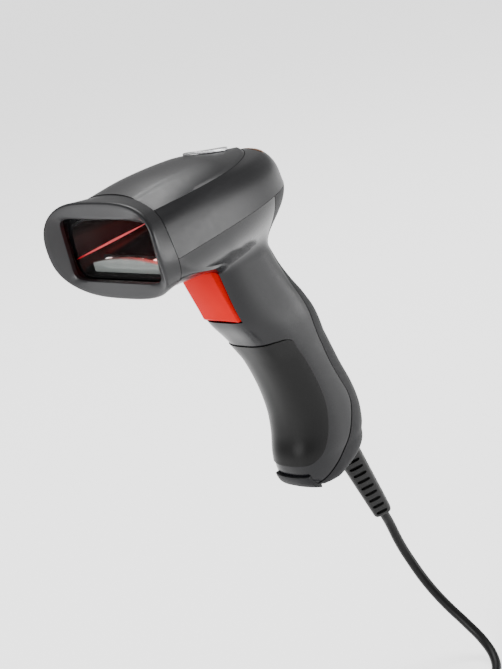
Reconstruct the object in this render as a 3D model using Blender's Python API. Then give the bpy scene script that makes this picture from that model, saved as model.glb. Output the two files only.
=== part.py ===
"""Handheld pistol-grip barcode scanner with a trigger and a corded USB plug.

Frame: metres, +Z up. The nose points along -Y and +X is the scanner's left side.
The origin is the middle of the hand grip. Sizes below are in millimetres and are
multiplied by MM when a mesh is made.
"""
import math

import bmesh
import bpy
from mathutils import Matrix, Vector

MM = 0.001
GAP = 0.3           # clearance between pieces that touch
WALL = 2.2          # housing wall thickness

# Head
PARTING_Z = 95.0    # parting line of the upper and lower housing
HALF_WIDTH = 35.3
SEAM_Y = -85.0      # seam of nose bezel and housing, on the centre line
SEAM_ARCH = 4.0     # how far the seam runs forward at the sides
RIM_Y = -95.0       # front rim of the nose, on the centre line
RIM_ARCH = 4.5
RIM_HALF_HEIGHT = 22.4
NOSE_Z = 99.6       # centre of the nose opening
NOSE_BOTTOM = 79.0
BELLY_POWER = 2.8

# Nose opening and optics
OPENING = (27.7, 14.3)
OPENING_POWER = 9
FLANGE = (29.3, 15.9)
FLANGE_POWER = 5
OPENING_Y = -94.4
LIP_BACK_Y = -92.2
WINDOW_Y = -90.9
WINDOW_THICKNESS = 1.4
HOOD_FRONT_Y = -89.2
HOOD_REAR_Y = -54.0
HOOD_FRONT = (27.2, 13.8)
HOOD_REAR = (12.0, 6.5)
OPTIC_Z = 102.0

# Handle sections: height, front, rear, half width
HANDLE = (
    (69.5, -48.4, -10.0, 15.2),
    (60.0, -46.6, -6.0, 15.0),
    (50.0, -44.4, -0.5, 15.0),
    (41.0, -41.0, 5.2, 15.2),
    (30.0, -34.0, 11.0, 15.8),
    (15.0, -26.8, 15.5, 16.4),
    (0.0, -22.0, 19.6, 17.0),
    (-14.0, -20.0, 24.4, 17.6),
    (-25.0, -21.0, 26.6, 18.0),
    (-34.0, -23.6, 26.2, 18.0),
    (-39.0, -24.6, 24.6, 17.6),
)
HANDLE_POWER = 2.5
NECK_POWER = 4.0            # squarer section round the trigger
BASE_LOW = (-10.0, -54.2)   # lowest point of the base if it weren't cut flat: y, z
BASE_FLAT_Z = -53.0
BASE_FRONT_Z = -49.2
BASE_REAR_Z = -44.3

# Side seam of the rear spine, seen from the side: y, z
SPINE_SEAM = (
    (-14.0, 100.0), (-14.0, 74.0), (-7.0, 52.0), (-0.6, 36.0), (1.2, 22.0), (4.4, 5.0), (7.6, -5.0),
    (11.2, -16.0), (10.0, -24.0), (4.3, -34.4), (-3.8, -41.2), (-11.6, -46.3), (-18.0, -50.5), (-23.0, -56.0),
    (-25.0, -64.0),
)

# Finger grip insert, seen from the side: y, z
GRIP_OUTLINE = (
    (-60.0, 27.0), (-22.0, 27.0), (-14.0, 18.0), (-9.0, 4.0), (-6.5, -9.0), (-6.8, -18.0),
    (-9.4, -27.0), (-13.6, -34.0), (-19.0, -38.0), (-27.0, -39.2), (-60.0, -39.2),
)
GRIP_DEPTH = 1.3
GRIP_PROUD = 0.5

# Trigger
PIVOT = (-35.4, 78.0)       # y, z
PIN_RADIUS = 1.5
TRIGGER_HALF_WIDTH = 10.7
TRIGGER_CHAMFER = 1.9
TRIGGER_SLOT = 11.3         # half width of its opening
TRIGGER_OPENING_BOTTOM = 43.0
SWITCH_Z = 52.0
SWITCH_BUTTON_Y = -31.0

# Cord
CORD_DIAMETER = 5.0
FLOOR_Z = -180.0
BOOT_TOP = (19.3, -54.5)    # y, z of its axis
BOOT_END = (34.0, -95.8)
BOOT_INSIDE = -16.0           # its flange inside the base, along the axis
BOOT_SHOULDER = -7.8          # where it widens, just outside the base
BOOT_TURN = -48.0             # degrees its faces are turned about the axis
COIL_CENTRE = (25.0, -47.0)
COIL_RADIUS = 28.0
COIL_HALF_WIDTH = 10.4
COIL_HALF_HEIGHT = 7.0
OUTER_STRAND = 7.8      # outermost turn's distance from the middle of the ring's section
TAIL_START = 20.0       # tail's two ends, back from the coil's centre
TAIL_END = 55.0
TIE_THICKNESS = 1.5
PLUG_LENGTH = 34.0
CORD_Z = FLOOR_Z + CORD_DIAMETER / 2
ENTRY_X = COIL_CENTRE[0] + COIL_RADIUS + OUTER_STRAND
TAIL_Y = COIL_CENTRE[1] - COIL_RADIUS - OUTER_STRAND

ROWS = 22
TONGUE_STEP = 1.6


# ---------------------------------------------------------------- scene helpers

def clear_scene():
    for item in list(bpy.data.objects):
        bpy.data.objects.remove(item, do_unlink=True)


def material(name, colour, roughness, metallic=0.0):
    found = bpy.data.materials.get(name)
    if found:
        return found
    made = bpy.data.materials.new(name)
    made.use_nodes = True
    shader = made.node_tree.nodes["Principled BSDF"]
    shader.inputs["Base Color"].default_value = (*colour, 1.0)
    shader.inputs["Roughness"].default_value = roughness
    shader.inputs["Metallic"].default_value = metallic
    return made


def make_object(name, vertices, faces, finish):
    """A closed mesh object from points in millimetres, with doubles merged."""
    places, index = [], {}
    numbers = []
    for vertex in vertices:
        key = tuple(round(value, 3) for value in vertex)
        if key not in index:
            index[key] = len(places)
            places.append(Vector(vertex) * MM)
        numbers.append(index[key])
    kept = []
    for face in faces:
        corners = [numbers[v] for v in face]
        corners = [v for i, v in enumerate(corners) if v != corners[i - 1]]
        if len(set(corners)) > 2:
            kept.append(corners)
    mesh = bpy.data.meshes.new(name)
    mesh.from_pydata(places, [], kept)
    mesh.validate()
    work = bmesh.new()
    work.from_mesh(mesh)
    bmesh.ops.recalc_face_normals(work, faces=work.faces)
    work.to_mesh(mesh)
    work.free()
    mesh.materials.append(finish)
    made = bpy.data.objects.new(name, mesh)
    bpy.context.scene.collection.objects.link(made)
    return made


def boolean(target, cutter, operation):
    """Apply an exact boolean to target and remove the cutter."""
    step = target.modifiers.new(operation, "BOOLEAN")
    step.operation = operation
    step.solver = "EXACT"
    step.object = cutter
    graph = bpy.context.evaluated_depsgraph_get()
    result = bpy.data.meshes.new_from_object(target.evaluated_get(graph))
    target.modifiers.clear()
    target.data = result
    bpy.data.objects.remove(cutter, do_unlink=True)
    return target


def cut(target, cutter):
    return boolean(target, cutter, "DIFFERENCE")


def keep(target, cutter):
    return boolean(target, cutter, "INTERSECT")


def join(target, addition):
    return boolean(target, addition, "UNION")


def set_origin(item, point):
    """Move an object's origin to a point in millimetres without moving its shape."""
    place = Vector(point) * MM
    item.data.transform(Matrix.Translation(-place))
    item.location = place


# ---------------------------------------------------------------- solid builders

def ring_faces(rings, count, closed_rings):
    """Faces between consecutive rings of count points each."""
    faces = []
    last = count if closed_rings else count - 1
    for row in range(rings - 1):
        for step in range(last):
            near = row * count + step
            side = row * count + (step + 1) % count
            faces.append((near, side, side + count, near + count))
    return faces


def loft(name, rings, finish, closed=False):
    """Solid through closed rings; closed joins the last ring to the first."""
    count = len(rings[0])
    points = [p for ring in rings for p in ring]
    faces = ring_faces(len(rings), count, True)
    if closed:
        start = (len(rings) - 1) * count
        for step in range(count):
            turn = (step + 1) % count
            faces.append((start + step, start + turn, turn, step))
    else:
        faces.append(tuple(range(count))[::-1])
        faces.append(tuple(range((len(rings) - 1) * count, len(rings) * count)))
    return make_object(name, points, faces, finish)


def box(name, low, high, finish, bevel=0.0):
    """Box between two corners, with rounded edges if bevel is given."""
    x0, y0, z0 = low
    x1, y1, z1 = high
    base = [(x0, y0), (x1, y0), (x1, y1), (x0, y1)]
    made = loft(name, [[(x, y, z) for x, y in base] for z in (z0, z1)], finish)
    if bevel:
        step = made.modifiers.new("Edges", "BEVEL")
        step.width = bevel * MM
        step.segments = 2
        step.limit_method = "ANGLE"
    return made


def turned(name, start, end, profile, finish, sides=24):
    """Solid turned around the line from start to end: profile is (along, radius)."""
    start = Vector(start)
    axis = (Vector(end) - start).normalized()
    across = axis.cross(Vector((1, 0, 0)))
    if across.length < 0.1:
        across = axis.cross(Vector((0, 0, 1)))
    across.normalize()
    other = axis.cross(across)
    rings = []
    for along, radius in profile:
        ring = []
        for step in range(sides):
            turn = 2 * math.pi * step / sides
            spoke = across * math.cos(turn) + other * math.sin(turn)
            ring.append(tuple(start + axis * along + spoke * radius))
        rings.append(ring)
    return loft(name, rings, finish)


def prism(name, outline, half_width, finish=None):
    """Solid of a side-view outline (y, z), extruded along X."""
    finish = finish or material("Cutter", (1, 1, 1), 0.5)
    rings = [[(x, y, z) for y, z in outline] for x in (-half_width, half_width)]
    return loft(name, rings, finish)


def upright_prism(name, outline, low, high):
    """Solid of a plan-view outline (x, y), extruded along Z."""
    finish = material("Cutter", (1, 1, 1), 0.5)
    rings = [[(x, y, z) for x, y in outline] for z in (low, high)]
    return loft(name, rings, finish)


def smooth_line(points, steps):
    """Points on a Catmull-Rom curve through the given ones."""
    points = [Vector(p) for p in points]
    line = [points[0] * 2 - points[1], *points, points[-1] * 2 - points[-2]]
    result = []
    for first in range(len(line) - 3):
        a, b, c, d = line[first:first + 4]
        for step in range(steps):
            t = step / steps
            result.append(0.5 * (b * 2 + (c - a) * t + (a * 2 - b * 5 + c * 4 - d) * t ** 2
                                 + (b * 3 - a - c * 3 + d) * t ** 3))
    result.append(points[-1])
    return result


def superellipse(half_x, half_z, power, centre_z, y, count=48):
    """Closed ring across the Y axis."""
    ring = []
    for step in range(count):
        turn = 2 * math.pi * step / count
        side, rise = math.sin(turn), math.cos(turn)
        x = half_x * math.copysign(abs(side) ** (2 / power), side)
        z = half_z * math.copysign(abs(rise) ** (2 / power), rise)
        ring.append((x, y, centre_z + z))
    return ring


# ---------------------------------------------------------------- head surface

def seam_y(x):
    return SEAM_Y - SEAM_ARCH * (x / HALF_WIDTH) ** 2


def outline_point(v, width, taper, rear, power, roundness):
    """Half width and y on a U-shaped outline; v runs from the seam to the rear."""
    turn = math.pi / 2 * v ** 1.8
    along = math.sin(turn) ** (2 / power)
    across = max(math.cos(turn), 0.0) ** (2 / roundness)
    front = seam_y(width)
    return (width - taper * along) * across, front + (rear - front) * along, along


def mix(a, b, t):
    return a + (b - a) * t


# width, taper, rear y, power, roundness, front z, rear z
UPPER_LEVELS = (
    (HALF_WIDTH, 8.0, 11.0, 4.0, 2.2, PARTING_Z, PARTING_Z),
    (32.6, 7.0, 9.4, 4.0, 2.2, 105.5, 104.5),
    (30.4, 6.5, 5.4, 3.6, 1.9, 111.4, 110.8),
    (26.8, 0.0, -3.0, 3.0, 1.35, 115.4, 113.8),
)
CROWN = ((0.0, 121.4), (0.25, 123.0), (0.55, 121.9), (0.72, 118.8), (0.86, 116.2), (1.0, 113.8))


def crown_height(along):
    line = smooth_line([(a, z, 0) for a, z in CROWN], 6)
    for before, after in zip(line, line[1:]):
        if before.x <= along <= after.x:
            return mix(before.y, after.y, (along - before.x) / (after.x - before.x))
    return CROWN[-1][1]


def upper_row(v, inset):
    """Right half of one section from the parting line to the tongue edge."""
    points = []
    for index, (width, taper, rear, power, roundness, z0, z1) in enumerate(UPPER_LEVELS):
        x, y, along = outline_point(v, width - inset, taper, rear - inset, power, roundness)
        drop = inset * (index / 3)
        points.append(Vector((x, y, mix(z0, z1, along) - drop)))
    return points, along


def tongue_row(v, inset, narrower, lower, steps=5):
    """Right half of one tongue section, from its edge to the centre line."""
    points, along = upper_row(v, inset)
    edge = points[-1]
    x_edge = edge.x * (1 - narrower / UPPER_LEVELS[-1][0])
    row = []
    for step in range(steps):
        share = 1 - step / (steps - 1)
        fill = 1 - share ** 2
        y = edge.y + fill * (SEAM_Y - seam_y(UPPER_LEVELS[-1][0])) * (1 - along)
        crown = crown_height(along) - inset - edge.z
        row.append(Vector((x_edge * share, y, edge.z + crown * (1 - share ** 2.2) - lower)))
    return row


def upper_grid(inset, pocket):
    """Rows across the upper housing, from right parting line to left one."""
    grid = []
    for index in range(ROWS + 1):
        v = index / ROWS
        side = smooth_line(upper_row(v, inset)[0], 2)
        half = side + tongue_row(v, inset, 0.0, pocket)
        grid.append(half + [Vector((-p.x, p.y, p.z)) for p in reversed(half[:-1])])
    return grid


def sheet_solid(name, outer, inner, finish):
    """Closed solid between two grids of the same size, whose last rows fold shut."""
    rows, columns = len(outer), len(outer[0])
    points = [p for row in outer for p in row] + [p for row in inner for p in row]
    size = rows * columns
    faces = ring_faces(rows, columns, False)
    faces += [tuple(size + i for i in reversed(face)) for face in ring_faces(rows, columns, False)]
    border = [(r, 0) for r in range(rows - 1, 0, -1)]
    border += [(0, c) for c in range(columns)]
    border += [(r, columns - 1) for r in range(1, rows)]
    for (r0, c0), (r1, c1) in zip(border, border[1:]):
        a, b = r0 * columns + c0, r1 * columns + c1
        faces.append((b, a, a + size, b + size))
    return make_object(name, points, faces, finish)


# ---------------------------------------------------------------- lower surface

def handle_ring(section, count):
    """Closed horizontal ring, starting at the rear and going over +X to the front."""
    height, front, rear, half = section
    centre, reach = (front + rear) / 2, (rear - front) / 2
    power = mix(HANDLE_POWER, NECK_POWER, min(1.0, max(0.0, (height - 18.0) / 25.0)))
    ring = []
    for step in range(count):
        turn = 2 * math.pi * step / count
        side, back = math.sin(turn), math.cos(turn)
        x = half * math.copysign(abs(side) ** (2 / power), side)
        y = centre + reach * math.copysign(abs(back) ** (2 / power), back)
        ring.append(Vector((x, y, height)))
    return ring


def top_ring(inset, side_steps, arc_steps):
    """The lower housing's top edge: parting line, then the seam's arc under the nose."""
    right = []
    for step in range(side_steps + 1):
        x, y, along = outline_point(1 - step / side_steps, HALF_WIDTH - inset, 8.0,
                                    11.0 - inset, 4.0, 2.2)
        right.append(Vector((x, y, PARTING_Z - GAP / 2)))
    depth = PARTING_Z - NOSE_BOTTOM - inset
    for step in range(1, arc_steps + 1):
        turn = math.pi / 2 * step / arc_steps
        x = (HALF_WIDTH - inset) * max(math.cos(turn), 0.0) ** (2 / BELLY_POWER)
        z = PARTING_Z - GAP / 2 - depth * math.sin(turn) ** (2 / BELLY_POWER)
        right.append(Vector((x, seam_y(x), z)))
    return right + [Vector((-p.x, p.y, p.z)) for p in reversed(right[1:-1])]


def meridian(start, end, below, share):
    """Points from the top edge down to the neck; share is 0 at the rear, 1 at the front."""
    forward = min(1.0, max(0.0, (share - 0.45) / 0.3))
    turn = math.radians(84) * forward
    lead = Vector((-0.10 * math.copysign(1, start.x) * math.cos(turn),
                   math.sin(turn), -math.cos(turn)))
    reach = (end - start).length
    leave = start + lead * reach * mix(0.40, 0.50, forward)
    arrive = end - (below - end).normalized() * reach * mix(0.30, 0.10, forward)
    points = []
    for step in range(8):
        t = step / 8
        points.append(start * (1 - t) ** 3 + leave * 3 * t * (1 - t) ** 2
                      + arrive * 3 * t * t * (1 - t) + end * t ** 3)
    return points


def lower_rings(inset):
    """Rings of the lower housing and handle, from the parting line to the base."""
    side_steps, arc_steps = 15, 9
    top = top_ring(inset, side_steps, arc_steps)
    count = len(top)
    sections = smooth_line([Vector(s[:3]) for s in HANDLE], 2)
    halves = smooth_line([Vector((s[3], 0, 0)) for s in HANDLE], 2)
    handle = []
    for section, half in zip(sections, halves):
        handle.append(handle_ring((section.x, section.y + inset, section.z - inset,
                                   half.x - inset), count))
    half_count = count // 2
    columns = []
    for index in range(count):
        share = min(index, count - index) / half_count
        columns.append(meridian(top[index], handle[0][index], handle[1][index], share))
    rings = [[columns[i][step] for i in range(count)] for step in range(8)]
    return rings + handle + base_rings(handle[-1], inset)


def base_height(y):
    """Height of the sloped underside of the base."""
    low_y, low_z = BASE_LOW
    front, rear = HANDLE[-1][1], HANDLE[-1][2]
    if y < low_y:
        drop = (max(y - front, 0.0) / (low_y - front)) ** 0.75
        return max(BASE_FLAT_Z, mix(BASE_FRONT_Z, low_z, drop))
    return max(BASE_FLAT_Z, mix(BASE_REAR_Z, low_z, min(1.0, max(rear - y, 0.0) / (rear - low_y))))


def base_rings(last, inset):
    centre = Vector((0, (HANDLE[-1][1] + HANDLE[-1][2]) / 2, 0))
    rings = []
    for scale, share in ((0.995, 0.3), (0.975, 0.6), (0.93, 0.82), (0.86, 0.94), (0.72, 1.0), (0.5, 1.0),
                         (0.25, 1.0), (0.02, 1.0)):
        ring = []
        for point in last:
            x = point.x * scale
            y = mix(centre.y, point.y, scale)
            ring.append(Vector((x, y, mix(point.z, base_height(y) + inset, share))))
        rings.append(ring)
    return rings


def lower_shell(name, outer_inset, inner_inset, finish):
    """Closed shell of the lower housing and handle together."""
    outer, inner = lower_rings(outer_inset), lower_rings(inner_inset)
    count = len(outer[0])
    points = [p for ring in outer for p in ring] + [p for ring in inner for p in ring]
    size = len(outer) * count
    faces = ring_faces(len(outer), count, True)
    faces += [tuple(size + i for i in reversed(f)) for f in ring_faces(len(inner), count, True)]
    for step in range(count):
        turn = (step + 1) % count
        faces.append((turn, step, step + size, turn + size))
    bottom = (len(outer) - 1) * count
    faces.append(tuple(range(bottom, bottom + count)))
    faces.append(tuple(range(size + bottom, size + bottom + count))[::-1])
    return make_object(name, points, faces, finish)


def seam_region(name, shift):
    """Prism of all that lies in front of the side seam (shift < 0) or behind it."""
    line = [(p.x + shift, p.y - shift) for p in smooth_line([(y, z, 0) for y, z in SPINE_SEAM], 3)]
    edge = -110.0 if shift < 0 else 60.0
    return prism(name, [*line, (edge, line[-1][1]), (edge, 100.0)], 60.0)


# ---------------------------------------------------------------- outer pieces

def seam_loop(inset):
    """Closed loop of (x, z) round the housing's front seam, from the top centre."""
    row = upper_grid(inset, 0.0)[0]
    top = [(p.x, p.z) for p in row]
    middle = len(top) // 2
    ring = top_ring(inset, 2, 10)
    arc = [(p.x, p.z) for p in ring[2:len(ring) - 1]]
    return top[middle::-1] + arc[1:-1] + top[:middle:-1]


def polar_point(x, z, half_x, half_z, power):
    """The point of a superellipse round the nose centre, at the angle of (x, z)."""
    turn = math.atan2(z - NOSE_Z, x)
    side, rise = abs(math.cos(turn)) / half_x, abs(math.sin(turn)) / half_z
    radius = (side ** power + rise ** power) ** (-1 / power)
    return radius * math.cos(turn), NOSE_Z + radius * math.sin(turn)


def rim_y(x, z):
    """The front rim runs forward at the sides and leans back towards the bottom."""
    middle = max(0.0, 1 - ((z - NOSE_Z) / RIM_HALF_HEIGHT) ** 2)
    return RIM_Y - RIM_ARCH * (x / HALF_WIDTH) ** 2 * middle + 0.06 * (NOSE_Z - z)


def nose_bezel(finish):
    """Ring at the nose: outer wall, scooped front face, lip and inner wall."""
    seam, inner = seam_loop(0.0), seam_loop(WALL)
    rim = (HALF_WIDTH, RIM_HALF_HEIGHT)
    pocket = (FLANGE[0] + GAP, FLANGE[1] + GAP)

    def rim_ring(shrink, depth):
        ring = []
        for x, z in seam:
            px, pz = polar_point(x, z, rim[0] - shrink, rim[1] - shrink, 3)
            ring.append((px, rim_y(px, pz) + depth, pz))
        return ring

    def opening_ring(size, power, y):
        ring = []
        for x, z in seam:
            px, pz = polar_point(x, z, *size, power)
            ring.append((px, y, pz))
        return ring

    def seam_ring(loop):
        return [(x, seam_y(x) - GAP, z) for x, z in loop]

    half_way = [tuple((Vector(a) + Vector(b)) / 2) for a, b in zip(seam_ring(seam), rim_ring(0, 3))]
    rings = [seam_ring(seam), half_way, rim_ring(0.0, 1.6), rim_ring(0.5, 0.3), rim_ring(1.4, 0.0),
             opening_ring(OPENING, OPENING_POWER, OPENING_Y),
             opening_ring(OPENING, OPENING_POWER, LIP_BACK_Y),
             opening_ring(pocket, FLANGE_POWER, LIP_BACK_Y),
             opening_ring(pocket, FLANGE_POWER, WINDOW_Y + WINDOW_THICKNESS), seam_ring(inner)]
    return loft("nose_bezel", rings, finish, closed=True)


def indicator_outline(grow):
    """Rounded bar across the rear of the top, seen from above."""
    points = []
    for step in range(24):
        turn = 2 * math.pi * step / 24
        x = (9.5 + grow) * math.copysign(abs(math.sin(turn)) ** 0.6, math.sin(turn))
        y = (1.7 + grow) * math.copysign(abs(math.cos(turn)) ** 0.6, math.cos(turn))
        points.append((x, 2.0 + y - 0.012 * x * x))
    return points


def upper_housing(finish):
    shell = sheet_solid("upper_housing", upper_grid(0.0, TONGUE_STEP + GAP),
                        upper_grid(WALL + TONGUE_STEP, 0.0), finish)
    return cut(shell, upright_prism("cutter", indicator_outline(GAP), 96.0, 130.0))


def indicator_lens(finish):
    skin = sheet_solid("indicator_lens", upper_grid(-0.2, 0.0), upper_grid(2.4, 0.0), finish)
    keep(skin, upright_prism("cutter", indicator_outline(0.0), 96.0, 130.0))
    return skin


def inlay_grid(narrower, lift, lower):
    grid = []
    for index in range(ROWS + 1):
        v = index / ROWS
        half = tongue_row(v, 0.0, narrower + 1.6 * lift * v, lower, 8)
        rise = lift * (0.15 + 1.5 * v ** 2)
        half = [Vector((p.x, p.y - narrower * v - 2.0 * lift * v * v, p.z + rise)) for p in half]
        grid.append(half + [Vector((-p.x, p.y, p.z)) for p in reversed(half[:-1])])
    return grid


def top_inlay(finish):
    """Panel on top of the head; its chamfered edge grows taller towards the rear."""
    narrower = 1.3 * GAP
    top, edge = inlay_grid(narrower, 1.0, 0.0), inlay_grid(narrower, 0.0, 0.0)
    low = inlay_grid(narrower, 0.0, TONGUE_STEP - GAP)
    upper = []
    for top_row, edge_row in zip(top, edge):
        upper.append([edge_row[0], *top_row, edge_row[-1]])
    lower = [[row[0], *row, row[-1]] for row in low]
    return sheet_solid("top_inlay", upper, lower, finish)


def badge_outline():
    """Teardrop seen from above: the tip points to the nose."""
    points = []
    for step in range(32):
        turn = 2 * math.pi * step / 32
        along = (1 - math.cos(turn)) / 2
        x = 5.2 * math.sin(turn) * (0.25 + 0.75 * along) ** 0.9
        points.append((x, -39.0 + 27.0 * along))
    return points


def badge(finish):
    top, low = inlay_grid(GAP, 1.0, -1.5), inlay_grid(GAP, 1.0, -GAP)
    skin = sheet_solid("badge", top, low, finish)
    keep(skin, upright_prism("cutter", badge_outline(), 100.0, 140.0))
    return skin


def trigger_profile(grow):
    """Side-view outline of the trigger (y, z); grow widens it on all sides."""
    front = [(-51.0 - grow, 72.6), (-50.2 - grow, 69.0), (-47.6 - grow, 60.5), (-44.8 - grow, 52.0),
             (-43.4 - grow, 47.4), (-42.8 - grow, 45.4), (-41.6 - grow, 44.4 - grow)]
    back = [(-36.0 + grow, 43.9 - grow), (-33.6 + grow, 46.0), (-32.6 + grow, 52.0), (-31.8 + grow, 62.0),
            (-31.4 + grow, 81.6 + grow), (-38.6 - grow, 81.8 + grow), (-43.4 - grow, 77.6 + grow)]
    return front + back


def trigger_opening():
    """Cutter for the trigger's opening, with room for its travel."""
    outline = trigger_profile(0.7)
    outline = [(max(y, -18.0) if y > -36 else y, max(z, TRIGGER_OPENING_BOTTOM)) for y, z in outline]
    return prism("cutter", [*outline[:7], (-18.0, TRIGGER_OPENING_BOTTOM), (-18.0, 84.0), (-44.0, 84.0)],
                 TRIGGER_SLOT)


def grip_region(grow):
    outline = [(y + grow if y > -59 else y, z) for y, z in GRIP_OUTLINE]
    outline = [(y, z + grow if z > 20 else z - grow if z < -35 else z) for y, z in outline]
    return prism("cutter", [(p.x, p.y) for p in smooth_line([(y, z, 0) for y, z in outline], 2)], 40.0)


def lower_housing(finish):
    shell = lower_shell("lower_housing", 0.0, WALL, finish)
    keep(shell, seam_region("cutter", -GAP / 2))
    cut(shell, trigger_opening())
    for _, height, front in GRIP_SCREWS:
        boss = [(0, 4.2), (-10.2 - front, 4.2)]
        join(shell, turned("boss", (0, front + 1.6, height), (0, 0, height), boss,
                           finish, 20))
        cut(shell, turned("cutter", (0, front - 3, height), (0, 0, height),
                          [(0, 2.7), (7.6, 2.7), (7.6, 1.5), (24.0, 1.5)], finish, 16))
    pocket = lower_shell("cutter", -3.0, GRIP_DEPTH, finish)
    keep(pocket, grip_region(GAP))
    return cut(shell, pocket)


def finger_grip(finish):
    pad = lower_shell("finger_grip", -GRIP_PROUD, GRIP_DEPTH - GAP, finish)
    return keep(pad, grip_region(0.0))


def boot_axis(along):
    """Point on the strain relief's axis; along is in millimetres from its top."""
    start, end = Vector((0, *BOOT_TOP)), Vector((0, *BOOT_END))
    return start + (end - start).normalized() * along


def boot_length():
    return (Vector(BOOT_END) - Vector(BOOT_TOP)).length


# Grip screws, hidden under the finger grip: height, and y of the handle's front there
GRIP_SCREWS = (("grip_screw_upper", 12.0, -25.8), ("grip_screw_lower", -20.0, -20.4))


def rear_spine(finish):
    """Matte rear half of the handle, with the base and two screw bosses."""
    shell = lower_shell("rear_spine", 0.0, WALL, finish)
    keep(shell, seam_region("cutter", GAP / 2))
    for _, height, _ in GRIP_SCREWS:
        rear = 15.6 if height > 0 else 25.0
        join(shell, turned("boss", (0, -8.0, height), (0, rear, height),
                           [(0, 3.2), (rear + 8.0, 3.2)], finish, 20))
        bore = [(0, 1.45), (11.0, 1.45)]
        cut(shell, turned("cutter", (0, -9.0, height), (0, 2.0, height), bore, finish, 16))
    cut(shell, loft("cutter", [boot_ring(along, 3.7) for along in (BOOT_INSIDE, 20.0)], finish))
    return shell


def foot_tab(finish):
    """Plate proud of the front of the base, under the finger grip."""
    plate = lower_shell("foot_tab", -1.3, -GAP, finish)
    outline = [(-60.0, -44.6), (-20.0, -44.9), (-15.4, -49.0), (-15.0, -75.0), (-60.0, -75.0)]
    return keep(plate, prism("cutter", outline, 10.6))


def boot_frame():
    """The strain relief's axis, and the two directions that its faces look in."""
    axis = (boot_axis(10) - boot_axis(0)).normalized()
    turn = Matrix.Rotation(math.radians(BOOT_TURN), 3, axis)
    across = turn @ Vector((1, 0, 0))
    return axis, across, across.cross(axis)


def boot_ring(along, half):
    """Rounded square across the strain relief's axis."""
    _, across, deep = boot_frame()
    ring = []
    for step in range(28):
        turn = 2 * math.pi * step / 28
        side, rise = math.cos(turn), math.sin(turn)
        spoke = across * half * math.copysign(abs(side) ** 0.5, side)
        spoke += deep * half * math.copysign(abs(rise) ** 0.5, rise)
        ring.append(boot_axis(along) + spoke)
    return ring


def boot_half(along):
    """Half width of the tapered part."""
    return mix(6.3, 4.9, along / boot_length())


def strain_relief(finish):
    """Tapered cable boot with bending slots and a flange inside the base."""
    length = boot_length()
    stem, top, end = 3.4, BOOT_SHOULDER, length - 2.0
    sizes = [(BOOT_INSIDE, 4.6), (BOOT_INSIDE + 1.5, 4.6), (BOOT_INSIDE + 1.5, stem), (top, stem),
             (top, boot_half(top) - 0.4), (top + 0.6, boot_half(top)), (end, boot_half(end)),
             (length - 0.4, boot_half(end) - 0.3), (length, boot_half(end) - 0.9)]
    boot = loft("strain_relief", [boot_ring(*size) for size in sizes], finish)
    _, across, deep = boot_frame()
    slots = 10
    for index in range(slots):
        along = mix(top + 3.4, length - 4.6, index / (slots - 1))
        half = boot_half(along)
        for face, other in ((across, deep), (deep, across)):
            for sign in (-1, 1):
                near, far, side = face * sign * (half - 1.5), face * sign * (half + 3.0), other * half * 0.58
                rings = []
                for shift in (0.0, 2.1):
                    centre = boot_axis(along + shift)
                    rings.append([centre + near - side, centre + far - side, centre + far + side,
                                  centre + near + side])
                cut(boot, loft("cutter", rings, finish))
    return boot


# ---------------------------------------------------------------- trigger mechanism

def trigger(finish):
    """Pull trigger with chamfered sides, a pivot bore and a nose for the switch."""
    profile = trigger_profile(0.0)
    centre_y = sum(y for y, _ in profile) / len(profile)
    centre_z = sum(z for _, z in profile) / len(profile)
    rings = []
    for x, inset in ((-TRIGGER_HALF_WIDTH, TRIGGER_CHAMFER), (-TRIGGER_HALF_WIDTH + TRIGGER_CHAMFER, 0.0),
                     (TRIGGER_HALF_WIDTH - TRIGGER_CHAMFER, 0.0),
                     (TRIGGER_HALF_WIDTH, TRIGGER_CHAMFER)):
        ring = []
        for index, (y, z) in enumerate(profile):
            shift = inset * (1.0 if index < 7 else 0.4)
            inward_y = math.copysign(shift, centre_y - y)
            inward_z = math.copysign(inset * 0.4, centre_z - z)
            ring.append((x, y + inward_y, z + inward_z))
        rings.append(ring)
    body = loft("trigger", rings, finish)
    hollow = [(-40.0, 74.0), (-47.4, 69.6), (-45.0, 60.0), (-42.2, 51.6), (-40.6, 47.0), (-28.0, 47.0),
              (-28.0, 74.0)]
    cut(body, prism("cutter", hollow, TRIGGER_HALF_WIDTH - 2.4))
    rib_low, rib_high = (-2.0, -43.6, SWITCH_Z - 2.0), (2.0, SWITCH_BUTTON_Y - GAP, SWITCH_Z + 2.0)
    join(body, box("rib", rib_low, rib_high, finish))
    y, z = PIVOT
    cut(body, turned("cutter", (-20, y, z), (20, y, z), [(0, PIN_RADIUS + GAP), (40, PIN_RADIUS + GAP)],
                     finish, 20))
    set_origin(body, (0, y, z))
    return body


def trigger_pivot_pin(finish):
    y, z = PIVOT
    half = 13.6
    return turned("trigger_pivot_pin", (-half, y, z), (half, y, z), [(0, PIN_RADIUS), (2 * half, PIN_RADIUS)],
                  finish, 20)


def trigger_spring(finish):
    """Coil spring between the trigger's hollow and the switch bracket."""
    points = []
    turns, radius, wire = 7, 2.3, 0.35
    start, end = -44.6, -22.9
    for step in range(turns * 12 + 1):
        turn = 2 * math.pi * step / 12
        y = mix(start, end, step / (turns * 12))
        points.append((radius * math.cos(turn), y, 64.5 + radius * math.sin(turn)))
    return tube("trigger_spring", points, wire, finish, 1)


def tube(name, points, radius, finish, resolution=2):
    """Round bar along points in millimetres, closed at both ends."""
    curve = bpy.data.curves.new(name, "CURVE")
    curve.dimensions = "3D"
    curve.bevel_depth = radius * MM
    curve.bevel_resolution = resolution
    curve.use_fill_caps = True
    line = curve.splines.new("POLY")
    line.points.add(len(points) - 1)
    for place, point in zip(line.points, points):
        place.co = (*(Vector(point) * MM), 1.0)
    curve.materials.append(finish)
    made = bpy.data.objects.new(name, curve)
    bpy.context.scene.collection.objects.link(made)
    return made


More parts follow.
